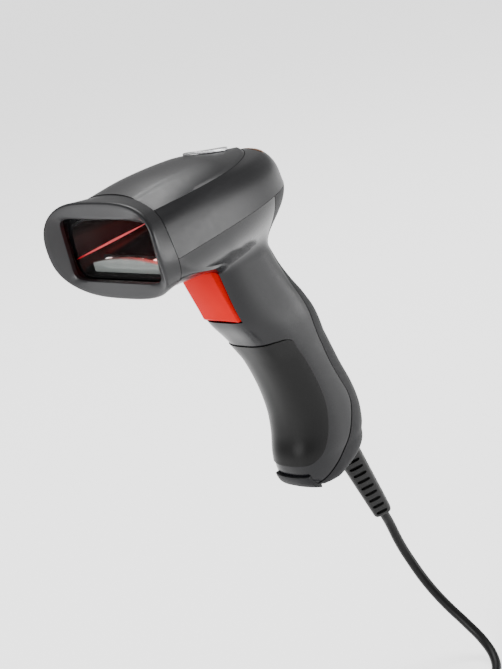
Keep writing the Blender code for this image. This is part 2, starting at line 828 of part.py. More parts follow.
def switch_parts(black, tan, board):
    """Micro switch on its small board, with a button that the trigger pushes."""
    front, back = -27.0, -22.6
    body = box("switch_body", (-3.0, front, SWITCH_Z - 4.0), (3.0, back, SWITCH_Z + 4.0), black)
    bore = [(0, 1.8), (4.6, 1.8)]
    cut(body, turned("cutter", (0, front - 1, SWITCH_Z), (0, back, SWITCH_Z), bore, black, 16))
    button = turned("switch_button", (0, SWITCH_BUTTON_Y, SWITCH_Z), (0, front, SWITCH_Z),
                    [(0, 1.2), (0.4, 1.5), (4.4, 1.5)], tan, 16)
    set_origin(button, (0, SWITCH_BUTTON_Y, SWITCH_Z))
    box("switch_board", (-8.0, back + GAP, 43.0), (8.0, back + 1.7, 70.0), board, 0.2)


# ---------------------------------------------------------------- optics and electronics

def optic_ring(size, power, y, centre=NOSE_Z):
    return superellipse(size[0], size[1], power, centre, y)


def scan_window(finish):
    inset = (FLANGE[0] - 0.4, FLANGE[1] - 0.4)
    rings = [optic_ring(inset, FLANGE_POWER, y) for y in (WINDOW_Y, WINDOW_Y + WINDOW_THICKNESS)]
    return loft("scan_window", rings, finish)


def window_gasket(finish):
    inner = (OPENING[0] + 0.3, OPENING[1] + 0.3)
    front, back = LIP_BACK_Y + GAP, WINDOW_Y - GAP
    rings = [optic_ring(FLANGE, FLANGE_POWER, front), optic_ring(FLANGE, FLANGE_POWER, back),
             optic_ring(inner, OPENING_POWER, back), optic_ring(inner, OPENING_POWER, front)]
    return loft("window_gasket", rings, finish, closed=True)


def hood_ring(size, y, centre):
    """Section of the hood: square below, and round above where the housing narrows."""
    lower = optic_ring(size, OPENING_POWER, y, centre)
    upper = optic_ring((size[0], size[1] * 0.88), 3.5, y, centre)
    return [high if high[2] > centre else low for low, high in zip(lower, upper)]


def inner_hood(finish):
    """Black light hood behind the window, open at both ends."""
    wall = 1.0
    stations = []
    for share in (0.0, 0.55, 1.0):
        size = (mix(HOOD_FRONT[0], HOOD_REAR[0], share), mix(HOOD_FRONT[1], HOOD_REAR[1], share))
        stations.append((size, mix(HOOD_FRONT_Y, HOOD_REAR_Y, share), mix(NOSE_Z, OPTIC_Z, share)))
    rings = [hood_ring(size, y, centre) for size, y, centre in stations]
    for size, y, centre in reversed(stations):
        rings.append(hood_ring((size[0] + wall, size[1] + wall), y, centre))
    return loft("inner_hood", rings, finish, closed=True)


def arched_bar(name, half, low, ends, crown, front, back, finish):
    """Bar across the nose with a flat underside and an arched top."""
    top = []
    for step in range(17):
        x = half * (1 - step / 8)
        top.append((x, ends + crown * (1 - (x / half) ** 2)))
    profile = [(-half, low), (half, low), *top]
    rings = [[(x, y, z) for x, z in profile] for y in (front, back)]
    return loft(name, rings, finish)


def illumination(clear, black, board, led):
    arched_bar("lens_bar", 21.5, 88.0, 90.6, 1.8, -87.2, -84.4, clear)
    box("led_board", (-19.5, -81.9, 88.6), (19.5, -80.7, 92.8), board, 0.1)
    for index, x in enumerate((-15.0, -5.0, 5.0, 15.0)):
        box(f"illumination_led_{index + 1}", (x - 1.4, -83.9, 89.2), (x + 1.4, -82.2, 91.8), led, 0.25)


def imaging(black, glass, chip, board):
    """Lens barrel in its mount, with the line sensor behind it."""
    mount = box("lens_mount", (-9.0, -51.0, OPTIC_Z - 8.0), (9.0, -38.0, OPTIC_Z + 7.0), black, 0.4)
    cut(mount, turned("cutter", (0, -60, OPTIC_Z), (0, -30, OPTIC_Z), [(0, 5.1), (30, 5.1)], black))
    profile = [(0, 4.4), (0.6, 4.8), (9.4, 4.8), (9.4, 3.2), (12.0, 3.2)]
    turned("lens_barrel", (0, -52.5, OPTIC_Z), (0, -40.0, OPTIC_Z), profile, glass)
    box("sensor_chip", (-14.0, -36.4, OPTIC_Z - 2.4), (14.0, -34.6, OPTIC_Z + 2.4), chip, 0.2)
    box("sensor_board", (-17.0, -34.3, OPTIC_Z - 8.0), (17.0, -33.0, OPTIC_Z + 7.0), board, 0.2)


def electronics(board, chip, tan, black, led, brass):
    """Main board with its chips, beeper and status light."""
    top = 91.6
    box("main_board", (-17.0, -51.0, top - 1.5), (17.0, -9.0, top), board, 0.2)
    box("decoder_chip", (-13.0, -31.0, top + GAP), (-1.0, -19.0, top + 2.0), chip, 0.3)
    box("memory_chip", (3.0, -31.0, top + GAP), (11.0, -21.0, top + 1.6), chip, 0.3)
    turned("beeper", (9.0, -15.0, top + GAP), (9.0, -15.0, top + 8.0),
           [(0, 4.6), (6.6, 4.6), (7.0, 4.2)], black)
    turned("status_led", (0, -12.5, top + GAP), (0, -12.5, top + 9.0),
           [(0, 2.6), (0.9, 2.6), (0.9, 2.2), (6.0, 2.2), (7.4, 1.5), (8.0, 0.5)], led, 16)
    box("cable_socket", (-5.5, -14.0, top - 6.0), (5.5, -9.2, top - 1.5 - GAP), tan, 0.3)
    box("cable_plug", (-5.0, -14.0, top - 9.6), (5.0, -9.4, top - 6.0 - GAP), tan, 0.3)


def handle_harness(finish):
    """Cable inside the handle, from the board plug to the strain relief."""
    route = [(0, -11.6, 81.4), (0, -13.5, 75), (1.0, -15.6, 68), (3.0, -14.6, 55), (5.5, -10.0, 38),
             (7.0, -6.0, 20), (7.0, 0.0, 2), (7.0, 4.0, -12), (6.0, 7.5, -22), (2.5, 10.5, -29),
             tuple(boot_axis(BOOT_INSIDE - 4.0)), tuple(boot_axis(BOOT_INSIDE - GAP))]
    return tube("handle_harness", smooth_line(route, 3), 1.6, finish, 2)


def grip_screws(steel):
    """Screws through the front shell into the bosses of the rear spine."""
    for name, height, front in GRIP_SCREWS:
        profile = [(0, 2.3), (1.6, 2.3), (1.6, 1.15), (17.0, 1.15), (18.0, 0.4)]
        turned(name, (0, front + 2.7, height), (0, 20, height), profile, steel, 16)


# ---------------------------------------------------------------- cord

# Where the lead hangs after it leaves the strain relief, down to the coil on the floor
CORD_ROUTE = (
    (2.0, 39.6, -119.0), (6.0, 41.2, -131.0), (12.5, 42.0, -143.0), (21.0, 42.8, -154.0),
    (31.5, 43.0, -163.6), (42.0, 41.0, -170.8), (51.0, 35.5, -175.2), (57.5, 26.5, -177.2),
    (60.8, 14.5, -177.5), (61.6, 0.5, -177.5), (61.2, -13.5, -177.5), (ENTRY_X, -27.0, CORD_Z),
)


def cord_parts(rubber, metal, white):
    """Free cord: the hanging lead, the tied coil of the rest, its tail and USB plug."""
    direction = (boot_axis(10) - boot_axis(0)).normalized()
    start = boot_axis(boot_length() + GAP)
    route = [start, start + direction * 9.0, *CORD_ROUTE]
    tube("cord_lead", smooth_line(route, 4), CORD_DIAMETER / 2, rubber, 2)
    ring_z = FLOOR_Z + COIL_HALF_HEIGHT + TIE_THICKNESS
    rings = []
    for step in range(40):
        turn = 2 * math.pi * step / 40
        ring = []
        for corner in range(14):
            tilt = 2 * math.pi * corner / 14
            side, rise = math.cos(tilt), math.sin(tilt)
            reach = COIL_RADIUS + COIL_HALF_WIDTH * math.copysign(abs(side) ** 0.75, side)
            height = ring_z + COIL_HALF_HEIGHT * math.copysign(abs(rise) ** 0.75, rise)
            x = COIL_CENTRE[0] + reach * math.cos(turn)
            y = COIL_CENTRE[1] + reach * math.sin(turn)
            ring.append((x, y, height))
        rings.append(ring)
    loft("cord_coil", rings, rubber, closed=True)
    tie(ring_z, rubber)
    tail = [(COIL_CENTRE[0] - mix(TAIL_START, TAIL_END, step / 4), TAIL_Y, CORD_Z) for step in range(5)]
    tube("cord_tail", tail, CORD_DIAMETER / 2, rubber, 2)
    usb_plug(COIL_CENTRE[0] - TAIL_END - GAP, rubber, metal, white)


def tie(ring_z, finish):
    """Band round the coil's bundle, on the side away from the object."""
    rings = []
    x_middle = COIL_CENTRE[0] + COIL_RADIUS
    half_width = 4.0
    for reach, y in ((GAP, -half_width), (GAP, half_width), (TIE_THICKNESS, half_width),
                     (TIE_THICKNESS, -half_width)):
        ring = []
        for step in range(24):
            turn = 2 * math.pi * step / 24
            side, rise = math.cos(turn), math.sin(turn)
            x = x_middle + (COIL_HALF_WIDTH + reach + 0.4) * math.copysign(abs(side) ** 0.75, side)
            z = ring_z + (COIL_HALF_HEIGHT + reach) * math.copysign(abs(rise) ** 0.75, rise)
            ring.append((x, COIL_CENTRE[1] + y, z))
        rings.append(ring)
    return loft("cord_tie", rings, finish, closed=True)


# USB plug's moulded grip: distance along it, half width, half height, drop of its middle
PLUG_SECTIONS = (
    (0.0, 2.6, 2.6, 1.7), (5.0, 3.4, 3.1, 1.0), (10.0, 6.0, 3.9, 0.0), (12.0, 7.6, 4.1, 0.0),
    (PLUG_LENGTH - 1.0, 7.8, 4.1, 0.0), (PLUG_LENGTH, 7.2, 3.6, 0.0),
)


def usb_plug(start_x, rubber, metal, white):
    """USB plug: moulded grip, metal shell and the insulator inside it."""
    middle = FLOOR_Z + 4.2
    rings = []
    for along, half_y, half_z, drop in PLUG_SECTIONS:
        ring = []
        for step in range(24):
            turn = 2 * math.pi * step / 24
            side, rise = math.cos(turn), math.sin(turn)
            y = TAIL_Y + half_y * math.copysign(abs(side) ** 0.6, side)
            z = middle - drop + half_z * math.copysign(abs(rise) ** 0.6, rise)
            ring.append((start_x - along, y, z))
        rings.append(ring)
    loft("usb_plug_grip", rings, rubber)
    front = start_x - PLUG_LENGTH - GAP
    half_y, half_z, sheet = 6.0, 2.25, 0.3
    shell = box("usb_shell", (front - 12.0, TAIL_Y - half_y, middle - half_z),
                (front, TAIL_Y + half_y, middle + half_z), metal)
    inside_y, inside_z = half_y - sheet, half_z - sheet
    cut(shell, box("cutter", (front - 13.0, TAIL_Y - inside_y, middle - inside_z),
                   (front - 0.4, TAIL_Y + inside_y, middle + inside_z), metal))
    box("usb_insulator", (front - 11.4, TAIL_Y - inside_y + GAP, middle - inside_z + GAP),
        (front - 0.7, TAIL_Y + inside_y - GAP, middle + 0.15), white)


# ---------------------------------------------------------------- assembly

def build():
    clear_scene()
    grey = material("Housing grey", (0.075, 0.076, 0.08), 0.42)
    dark = material("Inlay dark grey", (0.035, 0.035, 0.037), 0.4)
    gloss = material("Handle gloss", (0.14, 0.145, 0.155), 0.25)
    matte = material("Spine matte", (0.045, 0.045, 0.048), 0.6)
    rubber = material("Black rubber", (0.02, 0.02, 0.021), 0.65)
    boot = material("Boot grey", (0.065, 0.065, 0.068), 0.6)
    cable = material("Cable black", (0.022, 0.022, 0.023), 0.55)
    red = material("Trigger red", (0.9, 0.02, 0.0), 0.35)
    silver = material("Badge silver", (0.75, 0.75, 0.77), 0.3, 1.0)
    amber = material("Indicator amber", (0.75, 0.3, 0.08), 0.25)
    clear = material("Clear plastic", (0.8, 0.82, 0.85), 0.05)
    hood = material("Hood black", (0.008, 0.008, 0.009), 0.5)
    steel = material("Steel", (0.6, 0.6, 0.62), 0.3, 1.0)
    board = material("Circuit board green", (0.02, 0.16, 0.06), 0.45)
    chip = material("Chip black", (0.015, 0.015, 0.016), 0.4)
    tan = material("Connector white", (0.75, 0.72, 0.64), 0.5)
    led = material("Red emitter", (0.8, 0.05, 0.03), 0.3)
    nose_bezel(grey)
    upper_housing(grey)
    top_inlay(dark)
    badge(silver)
    indicator_lens(amber)
    lower_housing(gloss)
    rear_spine(matte)
    finger_grip(rubber)
    foot_tab(matte)
    strain_relief(boot)
    trigger(red)
    trigger_pivot_pin(steel)
    trigger_spring(steel)
    switch_parts(chip, tan, board)
    scan_window(clear)
    window_gasket(rubber)
    inner_hood(hood)
    illumination(clear, hood, board, led)
    imaging(hood, chip, chip, board)
    electronics(board, chip, tan, hood, led, steel)
    handle_harness(cable)
    grip_screws(steel)
    cord_parts(cable, steel, tan)


build()
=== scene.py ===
"""Looks of the handheld barcode scanner: finished shells, cord, materials, light and camera.

Sizes are millimetres in the frame of the CAD model and are multiplied by MM when a mesh is
made. The nose points along -Y, +X is the scanner's left side and +Z is up.
"""
import math

import bmesh
import bpy
from mathutils import Matrix, Vector


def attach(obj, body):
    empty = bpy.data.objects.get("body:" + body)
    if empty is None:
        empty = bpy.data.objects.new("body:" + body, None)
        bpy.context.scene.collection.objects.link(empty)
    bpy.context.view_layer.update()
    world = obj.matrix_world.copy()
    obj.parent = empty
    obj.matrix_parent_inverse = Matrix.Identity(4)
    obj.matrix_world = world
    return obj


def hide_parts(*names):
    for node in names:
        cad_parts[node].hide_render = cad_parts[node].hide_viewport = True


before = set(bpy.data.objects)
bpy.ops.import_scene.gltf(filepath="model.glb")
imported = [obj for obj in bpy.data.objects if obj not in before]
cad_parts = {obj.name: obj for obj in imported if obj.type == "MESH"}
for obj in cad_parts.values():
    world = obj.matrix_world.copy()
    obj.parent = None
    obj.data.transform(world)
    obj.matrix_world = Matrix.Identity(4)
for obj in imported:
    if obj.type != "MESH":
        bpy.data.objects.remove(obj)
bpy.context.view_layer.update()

MM = 0.001
GAP = 0.3
WALL = 2.2
FINE = 3     # the shells have this many times the rings of the CAD solids
CREASE_ANGLE = 32.0               # degrees; sharper edges stay sharp
HEAD_CLEAR = 60.0                 # half widths of cutters that reach beyond the head and the handle
HANDLE_CLEAR = 40.0

# Head
PARTING_Z = 95.0
HALF_WIDTH = 35.3
SEAM_Y = -85.0
SEAM_ARCH = 4.0
RIM_Y = -95.0
RIM_ARCH = 4.5
RIM_HALF_HEIGHT = 22.4
RIM_POWER = 3
RIM_LEAN = 0.06
RIM_ROUND = (0.9, 1.3)            # inwards, to the rear
NOSE_Z = 99.6
NOSE_BOTTOM = 79.0
BELLY_POWER = 2.8
OPENING = (27.7, 14.3)
OPENING_POWER = 9
OPENING_Y = -94.4
OPENING_CHAMFER = 0.3
LIP_BACK_Y = -92.2
WINDOW_Y = -90.9
WINDOW_THICKNESS = 1.4
POCKET = (29.6, 16.2)
POCKET_POWER = 5
TONGUE_STEP = 1.6
CREASE_X = 13.5                   # the panel's crease, which fades out behind the nose
CREASE_WIDTH = 3.0
CREASE_DEPTH = 0.8
CREASE_END_Y = -40.0
CREASE_FADE = 45.0
BADGE_HALF_WIDTH = 5.2
BADGE_TIP_Y = -39.0
BADGE_LENGTH = 27.0
INDICATOR_HALF = (9.5, 1.7)
INDICATOR_Y = 2.0
INDICATOR_SWEEP = 0.012
INDICATOR_PROUD = 0.2
INDICATOR_DEPTH = 2.4
ABOVE_PARTING = (96.0, 130.0)     # heights of cutters through the top of the head
LENS_HALF_WIDTH = 21.5
LENS_DEPTHS = (-87.2, -84.4)
LENS_HEIGHTS = (86.6, 90.9)
LENS_ARCH = 2.2
BEAM_START = (21.2, -89.42, 110.2)
BEAM_END = (-28.5, -89.42, 93.2)
BEAM_HALF_WIDTH = 0.62
ROWS = 22 * FINE
SIDE_STEPS = 2 + 2 * FINE
TONGUE_STEPS = 5 * FINE

# width, taper, rear y, power, roundness, front z, rear z
UPPER_LEVELS = (
    (HALF_WIDTH, 8.0, 11.0, 4.0, 2.2, PARTING_Z, PARTING_Z),
    (32.6, 7.0, 9.4, 4.0, 2.2, 105.5, 104.5),
    (30.4, 6.5, 5.4, 3.6, 1.9, 111.4, 110.8),
    (26.8, 0.0, -3.0, 3.0, 1.35, 115.4, 113.8),
)
CROWN = ((0.0, 121.4), (0.25, 123.0), (0.55, 121.9), (0.72, 118.8), (0.86, 116.2), (1.0, 113.8))

# Handle sections: height, front, rear, half width
HANDLE = (
    (69.5, -48.4, -10.0, 15.2),
    (60.0, -46.6, -6.0, 15.0),
    (50.0, -44.4, -0.5, 15.0),
    (41.0, -41.0, 5.2, 15.2),
    (30.0, -34.0, 11.0, 15.8),
    (15.0, -26.8, 15.5, 16.4),
    (0.0, -22.0, 19.6, 17.0),
    (-14.0, -20.0, 24.4, 17.6),
    (-25.0, -21.0, 26.6, 18.0),
    (-34.0, -23.6, 26.2, 18.0),
    (-39.0, -24.6, 24.6, 17.6),
)
HANDLE_POWER = 2.5
NECK_POWER = 4.0
NECK_START = 18.0                 # the handle turns squarer from here up
NECK_RUN = 25.0
BASE_LOW = (-10.0, -54.2)
BASE_FLAT_Z = -53.0
BASE_FRONT_Z = -49.2
BASE_REAR_Z = -44.3
BASE_CORNER = ((0.995, 0.3), (0.975, 0.6), (0.93, 0.82), (0.86, 0.94), (0.72, 1.0), (0.5, 1.0),
               (0.25, 1.0), (0.02, 1.0))
SPINE_SEAM = (
    (-14.0, 100.0), (-14.0, 74.0), (-7.0, 52.0), (-0.6, 36.0), (1.2, 22.0), (4.4, 5.0), (7.6, -5.0),
    (11.2, -16.0), (10.0, -24.0), (4.3, -34.4), (-3.8, -41.2), (-11.6, -46.3), (-18.0, -50.5),
    (-23.0, -56.0), (-25.0, -64.0),
)
GRIP_OUTLINE = (
    (-60.0, 27.0), (-22.0, 27.0), (-14.0, 18.0), (-9.0, 4.0), (-6.5, -9.0), (-6.8, -18.0),
    (-9.4, -27.0), (-13.6, -34.0), (-19.0, -38.0), (-27.0, -39.2), (-60.0, -39.2),
)
GRIP_DEPTH = 1.3
GRIP_PROUD = 0.5
LIP_REACH = 2.0
LIP_DEPTHS = (WALL + 0.1, WALL + 1.0)
FOOT_HALF_WIDTH = 10.6
FOOT_PROUD = 1.5

# Trigger
TRIGGER_HALF_WIDTH = 10.7
TRIGGER_BACK = (
    (-36.0, 43.9), (-33.6, 46.0), (-32.6, 52.0), (-31.8, 62.0), (-31.4, 81.6), (-38.6, 81.8), (-43.4, 77.6),
)
TRIGGER_SLOT = 11.3
TRIGGER_CLEARANCE = 0.7
TRIGGER_OPENING_BOTTOM = 43.0
TRIGGER_OPENING_TOP = 84.0
TRIGGER_OPENING_REAR = -18.0

# Strain relief and cord
CORD_DIAMETER = 5.0
FLOOR_Z = -180.0
BOOT_TOP = (19.3, -54.5)
BOOT_END = (34.0, -95.8)
BOOT_SHOULDER = -7.8
BOOT_TURN = -48.0                 # degrees round its axis
BOOT_INSIDE = (-16.0, -14.5)      # flange inside the base
BOOT_FLANGE = 4.6
BOOT_NECK = 3.4
BOOT_HOLE = 3.7
BOOT_HALVES = (6.3, 4.9)
BOOT_ROUND = 2.0
SLOTS = 10
SLOT_HALF_HEIGHT = 1.05
SLOT_DEPTH = 1.6
CORD_Z = FLOOR_Z + CORD_DIAMETER / 2
COIL_CENTRE = (25.0, -47.0)
COIL_RADIUS = 28.0
COIL_HALF_WIDTH = 10.4
COIL_HALF_HEIGHT = 7.0
OUTER_STRAND = 7.8
TIE_THICKNESS = 1.5
ENTRY_X = COIL_CENTRE[0] + COIL_RADIUS + OUTER_STRAND
TAIL_Y = COIL_CENTRE[1] - COIL_RADIUS - OUTER_STRAND
TAIL_START = 20.0
TAIL_END = 55.0
PLUG_LENGTH = 34.0
PLUG_MIDDLE_Z = FLOOR_Z + 4.2
PLUG_RIBS = (14.0, 28.0)          # where along the plug they start and end
CORD_ROUTE = (
    (2.0, 39.6, -119.0), (6.0, 41.2, -131.0), (12.5, 42.0, -143.0), (21.0, 42.8, -154.0),
    (31.5, 43.0, -163.6), (42.0, 41.0, -170.8), (51.0, 35.5, -175.2), (57.5, 26.5, -177.2),
    (60.8, 14.5, -177.5), (61.6, 0.5, -177.5), (61.2, -13.5, -177.5), (ENTRY_X, -27.0, CORD_Z),
)

# Turns of the coil: distance from the middle of the bundle, and layer. The layers nest.
STRANDS = (
    (OUTER_STRAND, 0), (2.6, 0), (-2.6, 0), (-7.8, 0), (-5.2, 1), (0.0, 1), (5.2, 1), (2.6, 2), (-2.6, 2),
)
LAYER_RISE = 4.6
STEPS_PER_TURN = 20
SHIFT_STEPS = 7       # the last steps of a turn, in which it moves on to its next place


# Surfaces
MOTTLE_SIZE = 18.0
GLOSS_SIZE = 3.0
GRAIN_DEPTH = 0.05

# Camera, with angles in degrees
CAMERA_AZIMUTH = 46.0
CAMERA_ELEVATION = 19.5
CAMERA_ROLL = -14.5
CAMERA_PLACE = (473.8, -483.6, 264.2)


# ---------------------------------------------------------------- numbers

def mix(a, b, t):
    return a + (b - a) * t


def clamped(value):
    return min(1.0, max(0.0, value))


def eased(t):
    """Slow start and slow end, from 0 to 1."""
    return t * t * (3 - 2 * t)


def turns(count):
    """Angles of a full turn, in equal steps."""
    return [2 * math.pi * step / count for step in range(count)]


def power_of(value, exponent):
    """Signed power, for superellipses."""
    return math.copysign(abs(value) ** exponent, value)


# ---------------------------------------------------------------- materials

def finish(name, colour, roughness, grain=0.0, grain_size=0.4, mottle=0.08, metallic=0.0, stretch=(1, 1, 1),
           specular=0.5):
    """Moulded surface: slow tone variation, uneven gloss and a fine grain."""
    made = bpy.data.materials.new(name)
    made.use_nodes = True
    nodes, links = made.node_tree.nodes, made.node_tree.links
    shader = nodes["Principled BSDF"]
    shader.inputs["Metallic"].default_value = metallic
    shader.inputs["Specular IOR Level"].default_value = specular
    coordinates = nodes.new("ShaderNodeTexCoord")
    scale = nodes.new("ShaderNodeMapping")
    scale.inputs["Scale"].default_value = stretch
    links.new(coordinates.outputs["Object"], scale.inputs["Vector"])

    def noise(size, detail):
        made_noise = nodes.new("ShaderNodeTexNoise")
        made_noise.inputs["Scale"].default_value = 1 / (size * MM)
        made_noise.inputs["Detail"].default_value = detail
        links.new(scale.outputs["Vector"], made_noise.inputs["Vector"])
        return made_noise.outputs["Fac"]

    tone = nodes.new("ShaderNodeValToRGB")
    tone.color_ramp.elements[0].position = 0.3
    tone.color_ramp.elements[1].position = 0.7
    tone.color_ramp.elements[0].color = (*[c * (1 - mottle) for c in colour], 1)
    tone.color_ramp.elements[1].color = (*[c * (1 + mottle) for c in colour], 1)
    links.new(noise(MOTTLE_SIZE, 3), tone.inputs["Fac"])
    links.new(tone.outputs["Color"], shader.inputs["Base Color"])
    gloss = nodes.new("ShaderNodeMapRange")
    gloss.inputs["To Min"].default_value = max(0.02, roughness - 0.05)
    gloss.inputs["To Max"].default_value = roughness + 0.05
    links.new(noise(GLOSS_SIZE, 4), gloss.inputs["Value"])
    links.new(gloss.outputs["Result"], shader.inputs["Roughness"])
    if grain:
        bump = nodes.new("ShaderNodeBump")
        bump.inputs["Strength"].default_value = grain
        bump.inputs["Distance"].default_value = GRAIN_DEPTH * MM
        links.new(noise(grain_size, 2), bump.inputs["Height"])
        links.new(bump.outputs["Normal"], shader.inputs["Normal"])
    return made


def clear(name, colour, alpha, roughness, specular=0.5):
    """Thin clear plastic, seen mostly by what it reflects."""
    made = finish(name, colour, roughness, mottle=0.02, specular=specular)
    made.node_tree.nodes["Principled BSDF"].inputs["Alpha"].default_value = alpha
    return made


def glowing(name, colour, strength):
    """Surface that gives off light of its own colour."""
    made = finish(name, colour, 0.3)
    shader = made.node_tree.nodes["Principled BSDF"]
    shader.inputs["Emission Color"].default_value = (*colour, 1)
    shader.inputs["Emission Strength"].default_value = strength
    return made


HOUSING = finish("Housing", (0.01, 0.01, 0.011), 0.36, 0.12, 0.35, specular=0.25)
INLAY = finish("Inlay", (0.006, 0.006, 0.007), 0.38, 0.15, 0.3, specular=0.35)
GLOSS = finish("Handle gloss", (0.002, 0.002, 0.003), 0.24, 0.05, 0.5, specular=0.26)
MATTE = finish("Spine", (0.006, 0.006, 0.007), 0.6, 0.25, 0.35, specular=0.16)
SOFT = finish("Grip rubber", (0.002, 0.002, 0.002), 0.33, 0.15, 0.25, specular=0.16)
BOOT = finish("Boot", (0.006, 0.006, 0.006), 0.5, 0.2, 0.3, specular=0.22)
CABLE = finish("Cable", (0.004, 0.004, 0.004), 0.45, 0.15, 0.4, specular=0.18)
TIE = finish("Tie", (0.03, 0.03, 0.032), 0.8, 0.9, 0.3, mottle=0.2)
RED = finish("Trigger red", (0.42, 0.0006, 0.0), 0.3, 0.05, 0.4, mottle=0.05, specular=0.06)
SILVER = finish("Badge silver", (0.42, 0.42, 0.43), 0.36, 0.08, 0.12, 0.04, 1.0, (1, 0.04, 1))
AMBER = finish("Indicator amber", (0.2, 0.075, 0.02), 0.25, 0.1, 0.5)
HOOD = finish("Hood black", (0.003, 0.003, 0.003), 0.45, 0.05, 0.5, specular=0.2)
STEEL = finish("Steel", (0.58, 0.58, 0.6), 0.28, 0.2, 0.15, 0.06, 1.0, (1, 0.1, 1))
BOARD = finish("Solder mask", (0.015, 0.13, 0.05), 0.35, 0.5, 0.5, 0.25)
CHIP = finish("Chip", (0.013, 0.013, 0.014), 0.45, 0.4, 0.2)
NYLON = finish("Nylon", (0.72, 0.69, 0.6), 0.4, 0.2, 0.3)
PANE = clear("Window", (0.004, 0.004, 0.004), 0.06, 0.03, 0.12)
LENS = clear("Lens bar", (0.2, 0.22, 0.21), 0.8, 0.08)
EMITTER = glowing("Emitter", (0.9, 0.86, 0.82), 1.6)
BEAM = glowing("Scan line", (0.3, 0.0, 0.003), 0.4)


# ---------------------------------------------------------------- mesh tools

def make_object(name, vertices, faces, surface, crease=CREASE_ANGLE):
    """A mesh object from points in millimetres, welded, smooth up to the crease angle."""
    places, index, numbers = [], {}, []
    for vertex in vertices:
        key = tuple(round(value, 3) for value in vertex)
        if key not in index:
            index[key] = len(places)
            places.append(Vector(vertex) * MM)
        numbers.append(index[key])
    kept = []
    for face in faces:
        corners = [numbers[v] for v in face]
        corners = [v for i, v in enumerate(corners) if v != corners[i - 1]]
        if len(set(corners)) > 2:
            kept.append(corners)
    mesh = bpy.data.meshes.new(name)
    mesh.from_pydata(places, [], kept)
    mesh.validate()
    work = bmesh.new()
    work.from_mesh(mesh)
    bmesh.ops.recalc_face_normals(work, faces=work.faces)
    work.to_mesh(mesh)
    work.free()
    mesh.materials.append(surface)
    made = bpy.data.objects.new(name, mesh)
    bpy.context.scene.collection.objects.link(made)
    smooth(made, crease)
    return made


def smooth(item, crease=CREASE_ANGLE):
    item.data.shade_smooth()
    item.data.set_sharp_from_angle(angle=math.radians(crease))


def applied(item):
    """Turn an object's modifiers into its mesh."""
    graph = bpy.context.evaluated_depsgraph_get()
    result = bpy.data.meshes.new_from_object(item.evaluated_get(graph))
    item.modifiers.clear()
    item.data = result
    smooth(item)
    return item


def boolean(target, cutter, operation):
    """Combine the target with a cutter, which is used up."""
    step = target.modifiers.new(operation, "BOOLEAN")
    step.operation = operation
    step.solver = "EXACT"
    step.object = cutter
    applied(target)
    bpy.data.objects.remove(cutter, do_unlink=True)
    return target


def cut(target, cutter):
    return boolean(target, cutter, "DIFFERENCE")


def keep(target, cutter):
    return boolean(target, cutter, "INTERSECT")


def rounded(item, width, segments=3, angle=35.0):
    """Round the edges sharper than the angle."""
    step = item.modifiers.new("Edges", "BEVEL")
    step.width = width * MM
    step.segments = segments
    step.limit_method = "ANGLE"
    step.angle_limit = math.radians(angle)
    step.harden_normals = True
    return applied(item)


def ring_faces(rings, count, closed_rings):
    """Faces between neighbouring rings, or rows, of count points each."""
    faces = []
    last = count if closed_rings else count - 1
    for row in range(rings - 1):
        for step in range(last):
            near = row * count + step
            side = row * count + (step + 1) % count
            faces.append((near, side, side + count, near + count))
    return faces


def loft(name, rings, surface, closed=False, crease=CREASE_ANGLE):
    """Solid through closed rings; closed joins the last ring to the first."""
    count = len(rings[0])
    points = [p for ring in rings for p in ring]
    faces = ring_faces(len(rings), count, True)
    if closed:
        start = (len(rings) - 1) * count
        for step in range(count):
            turn = (step + 1) % count
            faces.append((start + step, start + turn, turn, step))
    else:
        faces.append(tuple(range(count))[::-1])
        faces.append(tuple(range((len(rings) - 1) * count, len(rings) * count)))
    return make_object(name, points, faces, surface, crease)


def prism(name, outline, half_width, surface=HOOD):
    """Outline in (y, z), drawn out along X to both sides."""
    rings = [[(x, y, z) for y, z in outline] for x in (-half_width, half_width)]
    return loft(name, rings, surface)


def upright_cutter(outline, heights=ABOVE_PARTING):
    """Outline in (x, y), drawn out along Z."""
    return loft("cutter", [[(x, y, z) for x, y in outline] for z in heights], HOOD)


def smooth_line(points, steps):
    """Points on a Catmull-Rom curve through the given ones."""
    points = [Vector(p) for p in points]
    line = [points[0] * 2 - points[1], *points, points[-1] * 2 - points[-2]]
    result = []
    for first in range(len(line) - 3):
        a, b, c, d = line[first:first + 4]
        for step in range(steps):
            t = step / steps
            result.append(0.5 * (b * 2 + (c - a) * t + (a * 2 - b * 5 + c * 4 - d) * t ** 2
                                 + (b * 3 - a - c * 3 + d) * t ** 3))
    result.append(points[-1])
    return result


# ---------------------------------------------------------------- head surface

def seam_y(x):
    return SEAM_Y - SEAM_ARCH * (x / HALF_WIDTH) ** 2


def outline_point(v, width, taper, rear, power, roundness):
    """Half width, y and share of the length on a U-shaped outline; v runs from the seam to the rear."""
    turn = math.pi / 2 * v ** 1.8
    along = math.sin(turn) ** (2 / power)
    across = max(math.cos(turn), 0.0) ** (2 / roundness)
    front = seam_y(width)
    return (width - taper * along) * across, front + (rear - front) * along, along


CROWN_LINE = smooth_line([(a, z, 0) for a, z in CROWN], 12)


def crown_height(along):
    for before, after in zip(CROWN_LINE, CROWN_LINE[1:]):
        if before.x <= along <= after.x:
            return mix(before.y, after.y, (along - before.x) / (after.x - before.x))
    return CROWN[-1][1]


def upper_row(v, inset):
    """The +X half of one section, from the parting line to the tongue's edge."""
    points = []
    for index, (width, taper, rear, power, roundness, z0, z1) in enumerate(UPPER_LEVELS):
        x, y, along = outline_point(v, width - inset, taper, rear - inset, power, roundness)
        drop = inset * (index / (len(UPPER_LEVELS) - 1))
        points.append(Vector((x, y, mix(z0, z1, along) - drop)))
    return points, along


